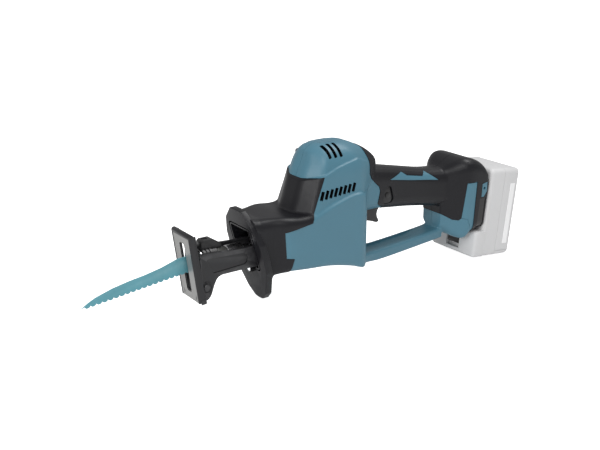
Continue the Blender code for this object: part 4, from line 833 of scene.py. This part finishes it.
def clamp():
    """The blade clamp: a ringed sleeve with its lug, and the wedge-backed body that it turns on."""
    sleeve = turned(((13.2, 9.25), (13.2, 12.4), (13.8, 13.2), (16.2, 13.2), (16.6, 12.2), (17.5, 12.2),
                     (17.9, 13.2), (20.2, 13.2), (20.6, 12.2), (21.5, 12.2), (21.9, 13.1), (24.2, 13.1),
                     (24.8, 12.4), (30.0, 12.4), (30.6, 11.9), (30.6, 11.2), (23.5, 11.2), (23.5, 9.25)))
    lug = softened(prism(((13.2, 9), (13.2, 19.4), (15.6, 21.5), (26, 21.5), (37, 14.5), (37, 9)),
                         -6, 6), 1.0)
    less(lug, rod((0, 0, 0), (50, 0, 0), 9.25), rod((23.5, 0, 0), (50, 0, 0), 11.2),
         rod((30.6, 0, 0), (50, 0, 0), 12.2), block(16.5, 22.5, -2.4, 2.4, 20.6, 25, bevel=0.4))
    plus(sleeve, lug)
    piece(sleeve, "clamp_sleeve_ringed", "clamp_sleeve", SLEEVE, "black_steel", "clamp_sleeve")
    body = turned(((10.5, 0.01), (10.5, 8.2), (11.3, 9), (31, 9), (31, 11.4), (33.5, 11.4), (42.6, 7.6),
                   (44, 7.2), (44, 6.15), (36, 6.15), (36, 0.01)))
    less(body, block(0, 32, -0.95, 0.95, -14, 5), rod((40, -20, 0), (40, 20, 0), 1.6),
         rod((18, 0, -1), (18, 14, -1), 2.15))
    piece(body, "clamp_wedge_body", "slider", WEDGE, "steel", "clamp_body")
    shaft = turned(((36.4, 0.01), (36.4, 5.2), (37.2, 6), (44.3, 6), (44.3, 7.8), (45, 8.5), (62.6, 8.5),
                    (63.4, 7.8), (63.4, 6), (125.2, 6), (126, 5.2), (126, 0.01)))
    less(shaft, rod((40, -20, 0), (40, 20, 0), 1.45))
    piece(shaft, "slider_rod", "slider", STEEL, "steel", "slider_shaft")
    ring = turned(((11, 9.4), (11, 11.1), (11.4, 11.5), (12.4, 11.5), (12.8, 11.1), (12.8, 9.4)))
    piece(ring, "clamp_snap_ring", "slider", STEEL, "steel", "clamp_ring")


# ---------------------------------------------------------------- controls


def controls():
    """Trigger with a hooked finger hollow, and the lock-off button with its rounded pad."""
    body = softened(prism(TRIGGER_EDGE, -9.2, 9.2), 1.4, 3)
    piece(body, "trigger_lever", "trigger", BLACK, "black_plastic", "trigger")
    pads = [softened(prism(LOCK_EDGE, *sorted((side * 17.0, side * 14.5)), swell=-0.5, corner=2.2), 0.4)
            for side in (-1, 1)]
    bolt = rod((252, -17.4, 31.5), (252, 17.4, 31.5), 3.6, bevel=0.4)
    plus(bolt, *pads)
    piece(bolt, "lock_off_button", "lock_button", BLACK, "black_plastic", "lock_button")
    lens = turned(((72.0, 0.01), (72.2, 1.5), (72.9, 2.8), (73.9, 3.4), (77.2, 3.4),
                   (77.2, 0.01)), "X", (0, 0, -23))
    piece(lens, "work_light_lens", "housing", LENS, "lens", "lamp_lens")


# ---------------------------------------------------------------- battery pack


def battery():
    """Two-part pack: slide cover with its rail and foot, case, plain label band and release button."""
    def packed(v0, v1, half, u0, u1, bevel=0, segments=2):
        return block(v0, v1, -half, half, u0, u1, bevel=bevel, segments=segments, turn=PACK_TURN)
    whole = packed(394.6, 446, 37.5, -27, 85, bevel=6, segments=5)
    foot = packed(381, 402, 37.5, -27, 7, bevel=4, segments=3)
    rail = packed(383, 390.5, 21, 2, 74, bevel=0.8)
    neck = packed(388, 401, 16.5, 2, 74, bevel=0.5)
    plus(whole, foot, rail, neck)
    less(whole, packed(397.6, 443, 34.5, -24, 82, bevel=2))
    grooves = [block(400, 460, *sorted((side * 36.9, side * 40)), -21.5, -20.3, turn=PACK_TURN)
               for side in (-1, 1)]
    case = less(duplicate(whole), packed(300, 418.75, 60, -90, 160), *grooves)
    bands = [block(430.5, 438.5, *sorted((side * 36, side * 37.9)), -12, 66, bevel=0.35, segments=1,
                   turn=PACK_TURN) for side in (-1, 1)]
    plus(case, *bands)

    def band(centre, normal):
        return abs(centre.y) > 37.6
    piece(case, "pack_case", "battery", PACK, "pack_plastic", "battery_case", other=(LABEL,),
          second=band)
    cover = less(whole, packed(418.45, 500, 60, -90, 160), packed(376, 387, 11, -21, 3),
                 *(block(378, 395.6, *sorted((side * 10.8, side * 13.2)), 48, 90, turn=PACK_TURN)
                   for side in (-1, 1)))
    piece(cover, "pack_slide_cover", "battery", PACK, "pack_plastic", "battery_cover")
    button = packed(381.8, 386.4, 10.4, -15.6, 2.4, bevel=0.8)
    less(button, *(packed(380, 382.4, 8, u, u + 1.2) for u in (-12, -9, -6, -3)))
    piece(button, "pack_release_button", "battery_button", BLACK, "black_plastic", "battery_button")


# ---------------------------------------------------------------- stage


def seen_brighter(tree, socket, lit, seen):
    """A strength for what the object is lit by, and another for the plain white ground that is seen."""
    path = node(tree, "ShaderNodeLightPath", -600, -400)
    strength = node(tree, "ShaderNodeMapRange", -350, -400)
    strength.inputs["To Min"].default_value = lit
    strength.inputs["To Max"].default_value = seen
    tree.links.new(path.outputs["Is Camera Ray"], strength.inputs["Value"])
    tree.links.new(strength.outputs["Result"], socket)


def stage():
    """Pale floor, soft lights and the camera."""
    bm = bmesh.new()
    bmesh.ops.create_grid(bm, x_segments=1, y_segments=1, size=6)
    floor = as_object(bm, "studio_floor")
    surface = bpy.data.materials.new("studio_floor_paint")
    surface.use_nodes = True
    shader = surface.node_tree.nodes["Principled BSDF"]
    shader.inputs["Base Color"].default_value = (0.8, 0.8, 0.8, 1)
    shader.inputs["Roughness"].default_value = 0.9
    shader.inputs["Emission Color"].default_value = (1, 1, 1, 1)
    seen_brighter(surface.node_tree, shader.inputs["Emission Strength"], GROUND_LIT,
                  GROUND_SEEN)
    floor.data.materials.append(surface)
    world = bpy.data.worlds.new("studio")
    bpy.context.scene.world = world
    world.use_nodes = True
    world.node_tree.nodes["Background"].inputs["Color"].default_value = (1, 1, 1, 1)
    seen_brighter(world.node_tree, world.node_tree.nodes["Background"].inputs["Strength"], SKY_LIT,
                  SKY_SEEN)
    for name, place, size, power in (
        ("key_softbox", (-0.7, -1.0, 1.3), 0.9, 10),
        ("top_softbox", (0.7, -0.1, 1.4), 0.8, 11),
        ("front_softbox", (-1.4, -0.4, 0.6), 0.6, 7),
    ):
        light = bpy.data.lights.new(name, "AREA")
        light.shape = "DISK"
        light.size = size
        light.energy = power
        lamp = bpy.data.objects.new(name, light)
        bpy.context.scene.collection.objects.link(lamp)
        lamp.location = place
        lamp.rotation_euler = (Vector((0, 0, 0.08)) - Vector(place)).to_track_quat("-Z", "Y").to_euler()
    target = TOOL + CAMERA_AIM * MM
    level = math.cos(CAMERA_RISE)
    back = Vector((math.sin(CAMERA_TURN) * level, -math.cos(CAMERA_TURN) * level, math.sin(CAMERA_RISE)))
    lens = bpy.data.cameras.new("camera")
    lens.lens = CAMERA_LENS
    lens.sensor_width = CAMERA_SENSOR
    camera = bpy.data.objects.new("camera", lens)
    bpy.context.scene.collection.objects.link(camera)
    camera.location = target + back * CAMERA_DISTANCE
    camera.rotation_euler = (-back).to_track_quat("-Z", "Y").to_euler()
    bpy.context.scene.camera = camera
    bpy.context.scene.view_settings.view_transform = "Standard"


dress(TEAL, "housing_left", "housing_right", "handle_inlay_left", "handle_inlay_right",
      "side_strip_left", "side_strip_right", "strap_tab_left", "strap_tab_right")
dress(RUBBER, "grip_left", "grip_right", "front_boot", "dust_seal")
dress(BLACK, "side_panel_left", "side_panel_right", "switch_body", "terminal_block", "lamp_holder",
      "trigger", "lock_button", "battery_button", "motor_fan")
dress(CAST, "gear_case")
dress(BRONZE, "slider_bush")
dress(BRASS, "terminal_plus", "terminal_minus")
dress(LINKAGE, "shoe_plate", "shoe_bracket", "shoe_pin")
dress(SLEEVE, "clamp_sleeve")
dress(LAMINATE, "motor_stator")
dress(STEEL, "slider_shaft", "yoke", "clamp_body", "clamp_pin", "clamp_ring", "clamp_cross_pin",
      "clamp_spring", "crank_gear", "crank_pin", "crank_shaft", "crank_bearing", "motor_bearing_lower",
      "motor_bearing_upper", "motor_rotor", "motor_shaft", "motor_pinion", "housing_screw_lower",
      "housing_screw_hump_back", "housing_screw_hump_top", "housing_screw_bar", "housing_screw_cap")
dress(BLADE, "saw_blade")
dress(LENS, "lamp_lens")
dress(BOARD, "circuit_ring", "controller")
dress(PACK, "battery_cover", "battery_case")
dress(WRAP, "battery_cells")

boot(*shells())
shoe()
bracket()
blade()
clamp()
controls()
battery()
stage()
